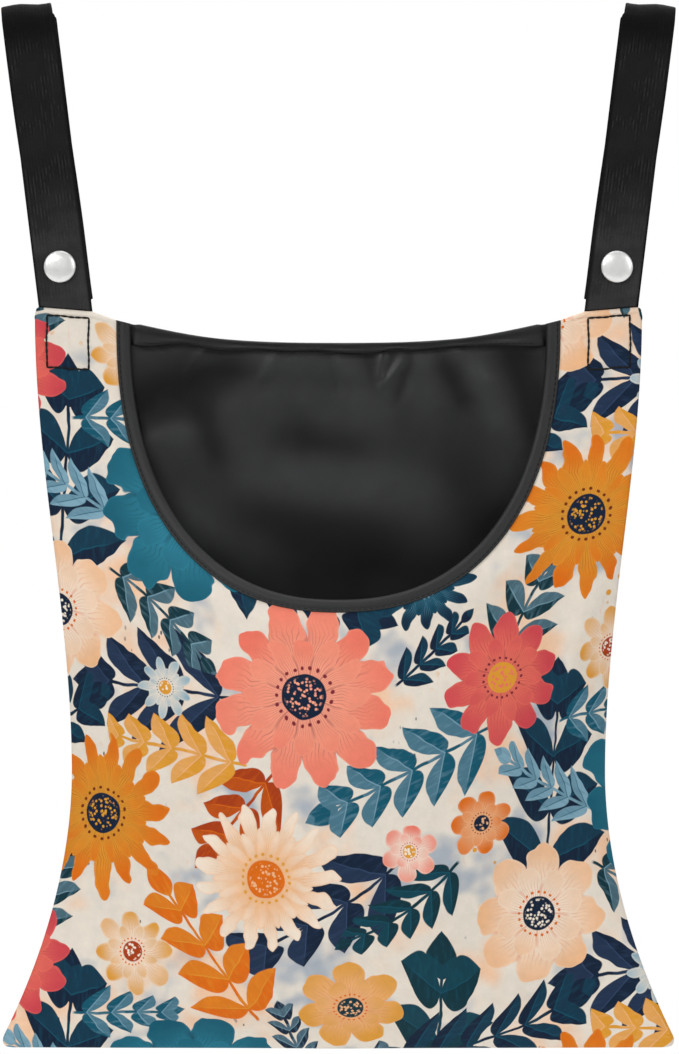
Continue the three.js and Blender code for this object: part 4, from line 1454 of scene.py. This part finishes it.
def mirrored(points):
    return points[::-1] * (1, -1)


def tape_section(name):
    slot = [mirrored(TAPE_SLOT[:2]), TAPE_SLOT[2:], TAPE_SLOT[1::-1]]
    loop = np.concatenate([TAPE_SIDE, TAPE_NOSE, mirrored(TAPE_SIDE), *slot])
    points = np.stack([loop[:, 1], -loop[:, 0], np.zeros(len(loop))], -1) * MM
    return path_of(name, points, None, closed=True)


section = tape_section("tape_section")
print("points in the tape's section:", len(section.data.vertices))

# %% Path round the mouth
MOUTH_STATIONS = 150


def headings(across, up):
    """The way a path of places goes at each of its points."""
    ways = np.stack([np.gradient(across), np.gradient(up)], -1)
    return ways / np.linalg.norm(ways, axis=-1, keepdims=True)


def mouth_path(past, off):
    """Points along the mouth, past its cut edge and off the middle of the cloth, with the cloth's facing."""
    across, up = mouth_edge(MOUTH_STATIONS)
    heading = headings(across, up)
    across, up = across - heading[:, 1] * past, up + heading[:, 0] * past
    points, normal = front_wall(across, up, 0.5 + off / FRONT_CLOTH)
    return placed(points), normal


def run_on(points, facing, extra):
    """Lets a path run on past both its ends, in its own direction."""
    ends = []
    for last, before in ((0, 1), (-1, -2)):
        heading = points[last] - points[before]
        ends.append(points[last] + heading * extra / np.linalg.norm(heading))
    points = np.concatenate([ends[:1], points, ends[1:]])
    return points, np.concatenate([facing[:1], facing, facing[-1:]])


print("points along the mouth:", len(mouth_path(0, 0)[0]))

# %% Binding of the mouth
TAPE_PAST_TOP, TRIM_LENGTH = 1.9, 6.0


def trimmed(tape):
    """Cuts both ends of the tape on the slant of the top edge, by sliding the last few millimetres."""
    corner = float(top_at(MOUTH_HALF))
    slant = float(top_at(MOUTH_HALF + HALF_STEP) - top_at(MOUTH_HALF - HALF_STEP))
    for vertex in tape.data.vertices:
        across, _, up = (np.array(vertex.co) / MM - (0, SEAM_Y, BOTTOM_Z)).tolist()
        near_end = float(ease((up - corner + TRIM_LENGTH) / TRIM_LENGTH))
        vertex.co.z -= MM * slant * (MOUTH_HALF + BINDING_WIDTH - abs(across)) * near_end


tape_path = path_of("mouth_tape", *run_on(*mouth_path(0, 0), TAPE_PAST_TOP * MM))
mouth_binding = grown(tape_path, tape_along_edge, Section=section, Finish=black_tape)
bpy.data.objects.remove(section)
trimmed(mouth_binding)
facing_out(mouth_binding)
maps = [layer.name for layer in mouth_binding.data.uv_layers]
print("binding faces:", len(mouth_binding.data.polygons), "maps:", maps)

# %% [markdown]
# ## The back's hem
# The back's top edge is rolled over to the inside and sewn. Seen from inside it is a thin rolled edge, a
# groove, and a second, fuller roll that wavers, because a straight fold is forced round a curved edge. At
# both ends it opens into a wider, loose fold. The section changes along the way, so this is lofted from
# loops of points, not swept.

# %% Section of the hem
# Past the edge, and off the middle of the cloth: the outer leg, the rolled edge and the slot for the cloth.
HEM_OUTER = [(-4.0, 0.56), (-4.05, 0.95), (-3.6, 1.15), (-2.0, 1.3), (-0.4, 1.3)]
HEM_NOSE = [(0.5, 1.1), (1.1, 0.75), (1.4, 0.3), (1.45, -0.1), (1.3, -0.6), (0.8, -1.05), (0.0, -1.35)]
HEM_SLOT = [(0.2, -0.56), (0.4, 0.0), (0.2, 0.56)]
# Inner leg, as share of its width, depth off the cloth, and share of the looseness.
HEM_INNER = [
    (-0.12, -1.42, 0.0),
    (-0.24, -1.15, 0.0),
    (-0.34, -1.02, 0.0),
    (-0.46, -1.22, 0.15),
    (-0.6, -1.52, 0.35),
    (-0.74, -1.6, 0.6),
    (-0.87, -1.42, 0.85),
    (-0.96, -1.15, 1.0),
    (-1.0, -0.85, 1.0),
]
HEM_INNER_BACK = [(-0.95, -0.6, 1.0), (-0.5, -0.56, 0.1)]
HEM_CLOTH, HEM_PRESS = 0.56, 0.75


def hem_pressed(across):
    """Share of the way to the hem's ends, where it is pressed flat behind the binding."""
    return ease((np.abs(across) - 93.5) / 3.5)


def hem_depth(across, depth, lift):
    """Depth of a point of the inner leg, whose roll swells and slackens along the way."""
    roll = 1 + 0.2 * np.sin(across / 6.7 + 1.2) + 0.14 * np.sin(across / 2.9)
    slack = 0.5 + 0.35 * np.sin(across / 9.7) + 0.25 * np.sin(across / 4.3 + 1.0)
    slack += 0.8 * ease((np.abs(across) - 66) / 16)
    pressed = hem_pressed(across)
    rolled = (depth + HEM_CLOTH) * roll * (1 - HEM_PRESS * pressed)
    return -HEM_CLOTH + rolled - slack * lift * (1 - pressed)


def hem_section(across):
    """The folded section at one place: past the edge, and off the middle of the cloth."""
    wide, pressed = hem_leg(across), hem_pressed(across)
    section = [(past, 0.54 + (off - 0.54) * (1 - HEM_PRESS * pressed)) for past, off in HEM_OUTER]
    reach = (0.52 + 0.48 * ease((np.abs(across) - 55) / 35)) * (1 - 0.55 * pressed)
    section += [(past * reach, off * (1 - 0.5 * pressed)) for past, off in HEM_NOSE]
    for share, depth, lift in HEM_INNER + HEM_INNER_BACK:
        section.append((wide * share, hem_depth(across, depth, lift)))
    return np.array(section + HEM_SLOT)


print("points in the hem's section:", len(hem_section(0.0)))

# %% Hem of the back
HEM_HALF, HEM_STATIONS = 99.0, 201


def hem_loops():
    across = np.linspace(HEM_HALF, -HEM_HALF, HEM_STATIONS)
    up = top_at(across)
    loops = []
    for x, z, (along_x, along_z) in zip(across, up, headings(across, up)):
        section = hem_section(x)
        into, beyond = np.minimum(0, section[:, 0]), np.maximum(0, section[:, 0])
        points = back_wall(x + along_z * into, z - along_x * into, 0.5 + section[:, 1] / BACK_CLOTH)[0]
        points[:, 0] += along_z * beyond
        points[:, 2] -= along_x * beyond
        loops.append(points)
    return np.array(loops), across


loops, along_hem = hem_loops()
around = np.cumsum(np.linalg.norm(np.diff(loops, axis=1, prepend=loops[:, :1]), axis=-1), axis=1)
hem_map = np.stack([around, np.broadcast_to(along_hem[:, None], around.shape)], -1) * MM
back_hem = lofted("back_hem_fold", placed(loops), [black_hem], hem_map)
print("hem stations:", len(loops), "widest leg, mm:", round(float(np.ptp(loops[0][:, 2])), 1))

# %% [markdown]
# ## Webbing straps
# Each strap is one length of webbing: a tail sewn between the panels, a back run, a fold over the line and
# a front flap that opens. Webbing is flat with rounded selvedges, so it is built directly from its section;
# a cloth simulation would only wrinkle it. The flap swings, so it is its own piece, with close loops just
# below the fold, and its first loop lies on the last loop of the fold. Its free end is cut to run along the
# shoulder's edge, and is trimmed a little narrower on the inner side.

# %% Strap section
BEND_LENGTH = 12.0
# Depth of the flap's middle at the stud and at the fold, the height it is level up to, and its end's set.
FLAP_AT_SNAP, FLAP_AT_CROWN, SNAP_ZONE, FLAP_SET = -5.8, -19.2, 35.0, 4.1
FLAP_END, END_SLANT, END_TRIM, TRIM_FROM = 0.25, 2.4, 1.3, 4.8
SELVEDGE = np.array([1.0, 0.992, 0.975, 0.945, 0.9, 0.8, 0.5, 0.2])
HALF_THICK = np.array([0.0, 0.32, 0.47, 0.57, 0.63, 0.6, 0.6, 0.6])


def strap_place(direction):
    """From strap millimetres (across, back, up the strap) to the packed model's frame."""
    lean = LEAN * direction
    across = np.array([math.cos(lean), 0, -math.sin(lean)])
    back = np.array([0, 1, 0])
    up = np.array([math.sin(lean), 0, math.cos(lean)])
    root = np.array([direction * STRAP_CENTRE, 0, BAG_HEIGHT])
    return lambda p: placed(root + p[..., :1] * across + p[..., 1:2] * back + p[..., 2:] * up)


def band_loops(path, out, width, shift, skew):
    """Loops of the webbing's section at each station of a path of (back, up) points."""
    share = np.concatenate([-SELVEDGE, SELVEDGE[::-1], SELVEDGE[1:], -SELVEDGE[:0:-1]])
    thick = np.concatenate([HALF_THICK, HALF_THICK[::-1], -HALF_THICK[1:], -HALF_THICK[:0:-1]])
    across = share * STRAP_WIDTH / 2 * width[:, None] + shift[:, None]
    back = path[:, :1] + thick * out[:, :1]
    up = path[:, 1:] + thick * out[:, 1:] + skew[:, None] * share
    return np.stack([across, back, up], -1)


def flap_depth(up):
    """Depth of the flap's middle: out to the fold above the stud, and back to the run at its free end."""
    rising = ease((up - SNAP_ZONE) / (STRAP_RISE - 0.3 - SNAP_ZONE))
    swell = (FLAP_AT_CROWN - FLAP_AT_SNAP) * rising
    return FLAP_AT_SNAP + swell + FLAP_SET * ease((12 - up) / 10)


print("points round the webbing:", 4 * len(SELVEDGE) - 2)

# %% Stations along the strap
def leg_stations():
    up = np.linspace(-STRAP_TAIL, STRAP_RISE, 70)
    angle = np.pi / 2 * (1 - np.cos(np.linspace(0, np.pi, 33)[1:]))
    bent = np.stack([CROWN_RADIUS * (np.cos(angle) - 1), STRAP_RISE + CROWN_RADIUS * np.sin(angle)], -1)
    path = np.concatenate([np.stack([0 * up, up], -1), bent])
    out = np.concatenate([np.tile([1.0, 0.0], (len(up), 1)), np.stack([np.cos(angle), np.sin(angle)], -1)])
    return path, out


def flap_stations():
    bend = np.linspace(STRAP_RISE, STRAP_RISE - BEND_LENGTH - 2, 29)
    run = np.linspace(bend[-1], TRIM_FROM + 0.2, 60)
    up = np.concatenate([bend[:-1], run, np.linspace(TRIM_FROM - 0.2, FLAP_END, 6)])
    slope = (flap_depth(up + HALF_STEP) - flap_depth(up - HALF_STEP)) * (up < STRAP_RISE - 1)
    out = np.stack([-np.ones_like(up), slope], -1)
    return np.stack([flap_depth(up), up], -1), out / np.linalg.norm(out, axis=-1, keepdims=True)


def over_fold(path):
    """Share of the way up into the fold, where the webbing draws in and sits a little askew."""
    return ease((path[:, 1] - (STRAP_RISE + 2.5)) / 3.0)


print("strap stations:", len(leg_stations()[0]), len(flap_stations()[0]))

# %% Both straps
# At the fold the webbing draws in by a share of its width, shifts and turns askew, and its edge ripples.
FOLD_NARROW, FOLD_SHIFT, FOLD_SKEW, FOLD_RIPPLE = 0.06, 0.65, 0.5, 0.45


def strap_map(loops, start):
    """The webbing laid out: across, and along from the sewn tail."""
    middle = loops.mean(axis=1)
    along = start + np.concatenate([[0], np.cumsum(np.linalg.norm(np.diff(middle, axis=0), axis=-1))])
    return np.stack([loops[..., 0], np.broadcast_to(along[:, None], loops.shape[:2])], -1) * MM, along[-1]


def strap_run(side, direction, place):
    path, out = leg_stations()
    fold = over_fold(path)
    leg = band_loops(
        path, out, 1 - FOLD_NARROW * fold, FOLD_SHIFT * direction * fold, FOLD_SKEW * direction * fold
    )
    leg[..., 2] += fold[:, None] * FOLD_RIPPLE * np.sin(0.31 * direction * leg[..., 0] + 0.35)
    leg_map, length = strap_map(leg, 0.0)
    return lofted(f"{side}_strap_run", place(leg), [webbing], leg_map), length


def strap_front(side, direction, place, start):
    path, out = flap_stations()
    free = ease((STRAP_RISE - 25 - path[:, 1]) / 80)
    slant = END_SLANT * ease((FLAP_END + 12 - path[:, 1]) / 12)
    trim = END_TRIM * (path[:, 1] < TRIM_FROM)
    shift = trim / 2 - 1.0 * free
    flap = band_loops(path, out, 1 - trim / STRAP_WIDTH, direction * shift, direction * slant)
    flap_map, length = strap_map(flap, start)
    return lofted(f"{side}_strap_front", place(flap), [webbing], flap_map), length


def strap_pieces(side, direction):
    """Both pieces of a strap, and two points on the flap: at the fold, and a bend's length below it."""
    place = strap_place(direction)
    leg, fold_end = strap_run(side, direction, place)
    flap, length = strap_front(side, direction, place, fold_end)
    print(side, "strap laid out, mm:", round(float(length)))
    hinge = place(np.array([0.0, FLAP_AT_CROWN, STRAP_RISE]))
    below = place(np.array([0.0, FLAP_AT_CROWN, STRAP_RISE - BEND_LENGTH]))
    return leg, flap, hinge, below


straps = {side: strap_pieces(side, direction) for side, direction in SIDES}
print("strap pieces:", [piece.name for pieces in straps.values() for piece in pieces[:2]])

# %% [markdown]
# ## Press studs
# A press stud is four turned pieces: a cap whose rivet goes through the flap into a socket behind it, and a
# stud on the back run with a rivet head behind. They are spun from half sections, which is how a lathe
# makes them. The cap has a flat-topped dome and a tightly rounded edge, and the metal pieces have rolled
# lips, flanges and domed heads.

# %% Sections of the stud
SNAP_HEIGHT = 20.0
FLAP_FRONT, FLAP_BACK = FLAP_AT_SNAP - STRAP_THICKNESS / 2, FLAP_AT_SNAP + STRAP_THICKNESS / 2
SOCKET_FACE, STUD_FACE, POST_FACE = FLAP_BACK + 0.05, -0.65, 0.65
HEAD_TOP = FLAP_BACK + 0.3 + 0.8 + 0.6
RIVET, CAP_RADIUS, POST_RADIUS, BORE = 1.6, 7.5, 5.5, 1.9
# How square the cap's dome is: a low power gives a flat top with a tight edge.
DOME_POWER = 0.62


def cap_section():
    edge = [(7.0, FLAP_FRONT - 0.02), (7.3, FLAP_FRONT - 0.1), (7.46, FLAP_FRONT - 0.35)]
    angles = np.linspace(math.pi / 2, 0, 25)
    flat_topped = [(math.sin(a) ** DOME_POWER, max(0.0, math.cos(a)) ** DOME_POWER) for a in angles]
    dome = [(CAP_RADIUS * r, FLAP_FRONT - 0.7 - 1.6 * h - 0.5 * (1 - r * r)) for r, h in flat_topped]
    shank = [(0, SOCKET_FACE + 0.8), (RIVET, SOCKET_FACE + 0.8), (RIVET, FLAP_FRONT - 0.02)]
    return shank + edge + dome


def socket_section():
    face, lip = SOCKET_FACE, SOCKET_FACE + 3.0
    flange = [(BORE, face), (5.8, face), (6.15, face + 0.1), (6.3, face + 0.4), (6.25, face + 0.8)]
    ring = [(5.9, face + 1.1), (5.75, lip - 0.5), (5.5, lip - 0.1), (5.2, lip), (4.0, lip)]
    well = [(3.75, lip - 0.15), (3.7, lip - 0.5), (3.7, face + 0.8), (BORE, face + 0.8), (BORE, face)]
    return flange + ring + well


def stud_section():
    face, flange = STUD_FACE, STUD_FACE - 0.7
    middle = (flange + HEAD_TOP) / 2
    foot = [(BORE, face), (5.5, face), (5.8, face - 0.2), (5.7, flange + 0.1), (5.3, flange), (3.2, flange)]
    neck = [(2.95, flange - 0.15), (2.9, flange - 0.4), (3.3, middle), (3.4, middle - 0.3)]
    head = [(3.2, HEAD_TOP + 0.25), (2.9, HEAD_TOP), (BORE, HEAD_TOP), (BORE, face)]
    return foot + neck + head


def post_section():
    face, end = POST_FACE, HEAD_TOP + 0.3
    angles = np.linspace(0, math.pi / 2, 9)
    dome = [(POST_RADIUS * math.cos(a), face + 0.35 + 0.8 * math.sin(a)) for a in angles]
    return [(0, end), (RIVET, end), (RIVET, face), (5.3, face), (5.45, face + 0.12), *dome]


SECTIONS = {"cap": cap_section(), "socket": socket_section(), "stud": stud_section(), "post": post_section()}
print("points in each half section:", {kind: len(points) for kind, points in SECTIONS.items()})

# %% Turned pieces
TURNED_SIDES, MERGE_CLOSER, SHARP_FROM = 48, 1e-7, math.radians(50)


def turned(name, section, place, material):
    """A piece spun about the stud's axis from (radius, depth) pairs; radius 0 closes it with a pole."""
    radius, depth = np.array(section, float).T[..., None]
    angle = TURN * np.arange(TURNED_SIDES) / TURNED_SIDES
    spun = np.broadcast_arrays(radius * np.cos(angle), depth, SNAP_HEIGHT + radius * np.sin(angle))
    made = lofted(name, place(np.stack(spun, -1)), [material])
    mesh = made.data
    bm = bmesh.new()
    bm.from_mesh(mesh)
    bmesh.ops.remove_doubles(bm, verts=bm.verts, dist=MERGE_CLOSER)
    bmesh.ops.dissolve_degenerate(bm, edges=bm.edges, dist=MERGE_CLOSER)
    bmesh.ops.recalc_face_normals(bm, faces=bm.faces)
    bm.to_mesh(mesh)
    bm.free()
    mesh.polygons.foreach_set("use_smooth", [True] * len(mesh.polygons))
    mesh.set_sharp_from_angle(angle=SHARP_FROM)
    return made


def stud_pieces(side, direction):
    place = strap_place(direction)
    finishes = {"cap": snap_cap}
    return {
        kind: turned(f"{side}_press_{kind}", section, place, finishes.get(kind, snap_metal))
        for kind, section in SECTIONS.items()
    }


studs = {side: stud_pieces(side, direction) for side, direction in SIDES}
print("stud pieces:", [piece.name for pieces in studs.values() for piece in pieces.values()])

# %% [markdown]
# ## Stitches
# Thread shows round the strap tails, as an upright box on each shoulder, along the binding and along the
# hem. A bump would do from far off, but a stitch is a short length of thread that dips at both ends, so
# each one is a small shape. A tree steps along a path at the stitch pitch and lays one on every step,
# turned to the path and to the cloth.

# %% A tree that lays stitches on a path
STITCH_SEGMENTS, STITCH_RINGS = 8, 6


def stitch_tree():
    sizes = dict.fromkeys(["Pitch", "Length", "Thickness"], "Float")
    takes = {"Path": "Geometry", **sizes, "Finish": "Material"}
    tree, take, end = new_group("stitches_on_path", "GeometryNodeTree", takes, {"Stitches": "Geometry"})
    curve = out_of(node(tree, "GeometryNodeMeshToCurve", Mesh=take["Path"]))
    steps = node(tree, "GeometryNodeResampleCurve", {"mode": "LENGTH"}, Curve=curve, Length=take["Pitch"])
    faces = dict(Segments=STITCH_SEGMENTS, Rings=STITCH_RINGS)
    bead = out_of(node(tree, "GeometryNodeMeshUVSphere", Radius=0.5, **faces), "Mesh")
    shape = vector(tree, take["Length"], take["Thickness"], take["Thickness"])
    stretched = out_of(node(tree, "GeometryNodeTransform", Geometry=bead, Scale=shape))
    axes = {"primary_axis": "X", "secondary_axis": "Z"}
    aim = node(tree, "FunctionNodeAxesToRotation", axes)
    plug(tree, aim.inputs[0], out_of(node(tree, "GeometryNodeInputTangent")))
    plug(tree, aim.inputs[1], stored(tree, "facing", "FLOAT_VECTOR"))
    laid = dict(Points=out_of(steps), Instance=stretched, Rotation=out_of(aim))
    laid = out_of(node(tree, "GeometryNodeInstanceOnPoints", **laid))
    return handed_over(tree, laid, take["Finish"], end)


stitches_on_path = stitch_tree()
print("nodes in the stitch tree:", len(stitches_on_path.nodes))

# %% [markdown]
# Each line of stitches is a path on the cloth, a little off its face. The boxes on the shoulders wander
# slightly, as hand-guided sewing does, and leave a gap at each corner where the machine turns. The lines
# along the binding and the hem are finer.

# %% Stitch lines
BOX_OUTER, BOX_INNER, BOX_FOOT, BOX_DOWN = 137.6, 117.8, 26.6, 2.2
BOX_GAP, BOX_POINTS, THREAD_OFF = 1.6, 25, 0.12
HEM_LINE_HALF, HEM_LINE_SHARE, HEM_LINE_DEPTH, HEM_LINE_LIFT, HEM_LINE_OFF = 91, 0.8, -1.51, 0.72, 0.1


def box_path(wall, cloth, direction):
    """The four sides of an upright box on one shoulder, about a point a millimetre."""
    sides = ((BOX_OUTER, BOX_DOWN), (BOX_INNER, BOX_DOWN), (BOX_INNER, BOX_FOOT), (BOX_OUTER, BOX_FOOT))
    corners = [(x, float(top_at(x)) - down) for x, down in sides]
    points = []
    for (x0, z0), (x1, z1) in zip(corners, corners[1:] + corners[:1]):
        gap = BOX_GAP / math.hypot(x1 - x0, z1 - z0)
        share = np.linspace(gap, 1 - gap, BOX_POINTS)[:, None]
        points.append(np.array([[x0, z0]]) * (1 - share) + np.array([[x1, z1]]) * share)
    across, up = np.concatenate(points).T
    unsteady = 0.18 * np.sin(up / 2.9) + 0.15 * np.sin(across / 1.7)
    points, normal = wall(direction * (across + unsteady), up + unsteady, 1.0 + THREAD_OFF / cloth)
    return placed(points), normal


def hem_path():
    """A line of points on the hem's second roll, a millimetre apart, facing the inside."""
    across = np.linspace(-HEM_LINE_HALF, HEM_LINE_HALF, 2 * HEM_LINE_HALF + 1)
    up = top_at(across) - hem_leg(across) * HEM_LINE_SHARE
    depth = hem_depth(across, HEM_LINE_DEPTH, HEM_LINE_LIFT) - HEM_LINE_OFF
    points, normal = back_wall(across, up, 0.5 + depth / BACK_CLOTH)
    return placed(points), -normal


print("points round a box and along the hem:", 4 * BOX_POINTS, len(hem_path()[0]))

# %% Sewing
BINDING_LINE, BINDING_FACE = -3.7, 1.3
BOX_STITCH = dict(Pitch=2.8 * MM, Length=3.9 * MM, Thickness=1.05 * MM, Finish=thread)
FINE_STITCH = dict(Pitch=2.8 * MM, Length=2.4 * MM, Thickness=0.5 * MM, Finish=thread)


def sewn(name, path, stitch, runs=1):
    return grown(path_of(name, *path, runs=runs), stitches_on_path, **stitch)


stitching = []
for side, direction in SIDES:
    for face, wall, cloth in (("front", front_wall, FRONT_CLOTH), ("back", back_wall, BACK_CLOTH)):
        path = box_path(wall, cloth, direction)
        stitching.append(sewn(f"{side}_{face}_box_stitch", path, BOX_STITCH, runs=4))

binding_stitch = sewn("binding_stitch", mouth_path(BINDING_LINE, BINDING_FACE), FINE_STITCH)
inner_stitch = sewn("binding_inner_stitch", mouth_path(BINDING_LINE, -BINDING_FACE), FINE_STITCH)
hem_stitch = sewn("hem_stitch", hem_path(), FINE_STITCH)
stitching += [binding_stitch, inner_stitch, hem_stitch]
print("stitch faces:", {piece.name: len(piece.data.polygons) for piece in stitching})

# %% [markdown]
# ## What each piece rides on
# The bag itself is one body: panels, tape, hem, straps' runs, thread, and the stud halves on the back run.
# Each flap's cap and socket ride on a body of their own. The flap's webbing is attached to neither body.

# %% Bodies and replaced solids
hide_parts("front_panel")
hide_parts("back_panel")
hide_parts("mouth_binding")
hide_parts("back_hem")
slots = {front_panel: "printed_cloth", back_panel: "black_cloth"}
slots |= {piece: "black_tape" for piece in (mouth_binding, back_hem, *stitching)}
for side, (leg, flap, hinge, below) in straps.items():
    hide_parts(f"{side}_strap_leg")
    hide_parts(f"{side}_strap_flap")
    slots |= {leg: "webbing", flap: "webbing"}
    for kind, made in studs[side].items():
        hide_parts(f"{side}_snap_{kind}")
        slots[made] = "snap_cap" if kind == "cap" else "snap_metal"
        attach(made, f"{side}_flap" if kind in ("cap", "socket") else "bag")
    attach(leg, "bag")
    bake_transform(flap)

for made in (front_panel, back_panel, mouth_binding, back_hem, *stitching):
    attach(made, "bag")

print("pieces with a slot:", len(slots))

# %% The two cloth panels
print("sheets:", front_panel.name, back_panel.name)

# %% [markdown]
# ## Studio
# The bag is seen straight from the front on white. A long lens from three metres keeps the outline true.
# The light is soft and comes from both sides and above; the world is white to the camera, and dimmer as a
# light. The floor lies well under the bag, which hangs from its line.

# %% Camera
CAMERA_AWAY, SENSOR = 3.0, 36.0
FRAME_HEIGHT, FRAME_CENTRE_UP, FRAME_CENTRE_ACROSS = 497.2, 245.3, 0.5


def studio_camera():
    data = bpy.data.cameras.new("front_camera")
    data.sensor_width = SENSOR
    data.lens = SENSOR * CAMERA_AWAY / (FRAME_HEIGHT * MM)
    data.clip_start, data.clip_end = 0.05, 50.0
    made = added("front_camera", data)
    aim = placed([FRAME_CENTRE_ACROSS, 0, FRAME_CENTRE_UP])
    made.location = (aim[0], aim[1] - CAMERA_AWAY, aim[2])
    made.rotation_euler = (math.pi / 2, 0, 0)
    scene.camera = made


scene.view_settings.view_transform = "Standard"
studio_camera()
print("camera lens, mm:", round(scene.camera.data.lens, 1))

# %% Lights and white world
WHITE, WORLD_LIGHT = (1.0, 1.0, 1.0, 1.0), 0.24
LIGHT_AIM = placed([0, 0, 190])
# Name, place, what it is turned to, size and power.
LIGHTS = (
    ("key_light", (-1.5, -1.7, 1.0), LIGHT_AIM, 1.3, 29),
    ("front_light", (-0.55, -2.7, 0.75), LIGHT_AIM, 0.5, 5),
    ("fill_light", (1.7, -1.6, 0.5), LIGHT_AIM, 1.4, 16),
    ("back_light", (0.3, 1.7, 0.7), LIGHT_AIM, 1.4, 18),
    ("floor_light", (0.0, 0.5, 1.9), (0.0, 0.5, -0.8), 2.4, 42),
)


def soft_light(name, place, aim, size, power):
    data = bpy.data.lights.new(name, "AREA")
    data.shape, data.size, data.energy = "DISK", size, power
    made = added(name, data)
    made.location = place
    made.rotation_euler = (Vector(aim) - Vector(place)).to_track_quat("-Z", "Y").to_euler()


def studio_world():
    world = bpy.data.worlds.new("studio")
    world.use_nodes = True
    tree = world.node_tree
    lamp = tree.nodes["Background"]
    lamp.inputs["Color"].default_value = WHITE
    lamp.inputs["Strength"].default_value = WORLD_LIGHT
    seen = node(tree, "ShaderNodeBackground", Color=WHITE, Strength=1.0)
    both = tree.nodes.new("ShaderNodeMixShader")
    by_camera = out_of(node(tree, "ShaderNodeLightPath"), "Is Camera Ray")
    for slot, value in zip(both.inputs, (by_camera, out_of(lamp), out_of(seen))):
        plug(tree, slot, value)
    plug(tree, tree.nodes["World Output"].inputs["Surface"], out_of(both))
    scene.world = world


studio_world()
for light in LIGHTS:
    soft_light(*light)

print("lights:", len(LIGHTS))

# %% Floor
FLOOR_BELOW, FLOOR_SIDES, FLOOR_RINGS = 350.0, 96, (0.01, 0.6, 1.4, 2.2)


def studio_floor():
    angle = TURN * np.arange(FLOOR_SIDES) / FLOOR_SIDES
    rim = np.stack([np.cos(angle), np.sin(angle)], -1)
    height = np.full(FLOOR_SIDES, -FLOOR_BELOW + BOTTOM_Z) * MM
    points = np.concatenate([np.c_[rim * radius, height] for radius in FLOOR_RINGS])
    number = np.arange(FLOOR_SIDES)
    ahead = np.roll(number, -1)
    faces = [number.tolist()]
    for k in range(len(FLOOR_RINGS) - 1):
        inner, outer = FLOOR_SIDES * k, FLOOR_SIDES * (k + 1)
        faces += np.stack([number + inner, number + outer, ahead + outer, ahead + inner], -1).tolist()
    material, tree, shader = new_finish("pale_floor", Roughness=0.8)
    grain = noise(tree, object_mm(tree), 90.0, 3.0)
    plug(tree, shader.inputs["Base Color"], mixed(tree, grain, paint("efefee"), paint("f7f7f6")))
    return piece_of("studio_floor", points, faces, [material])


floor = studio_floor()
print("floor faces:", len(floor.data.polygons))
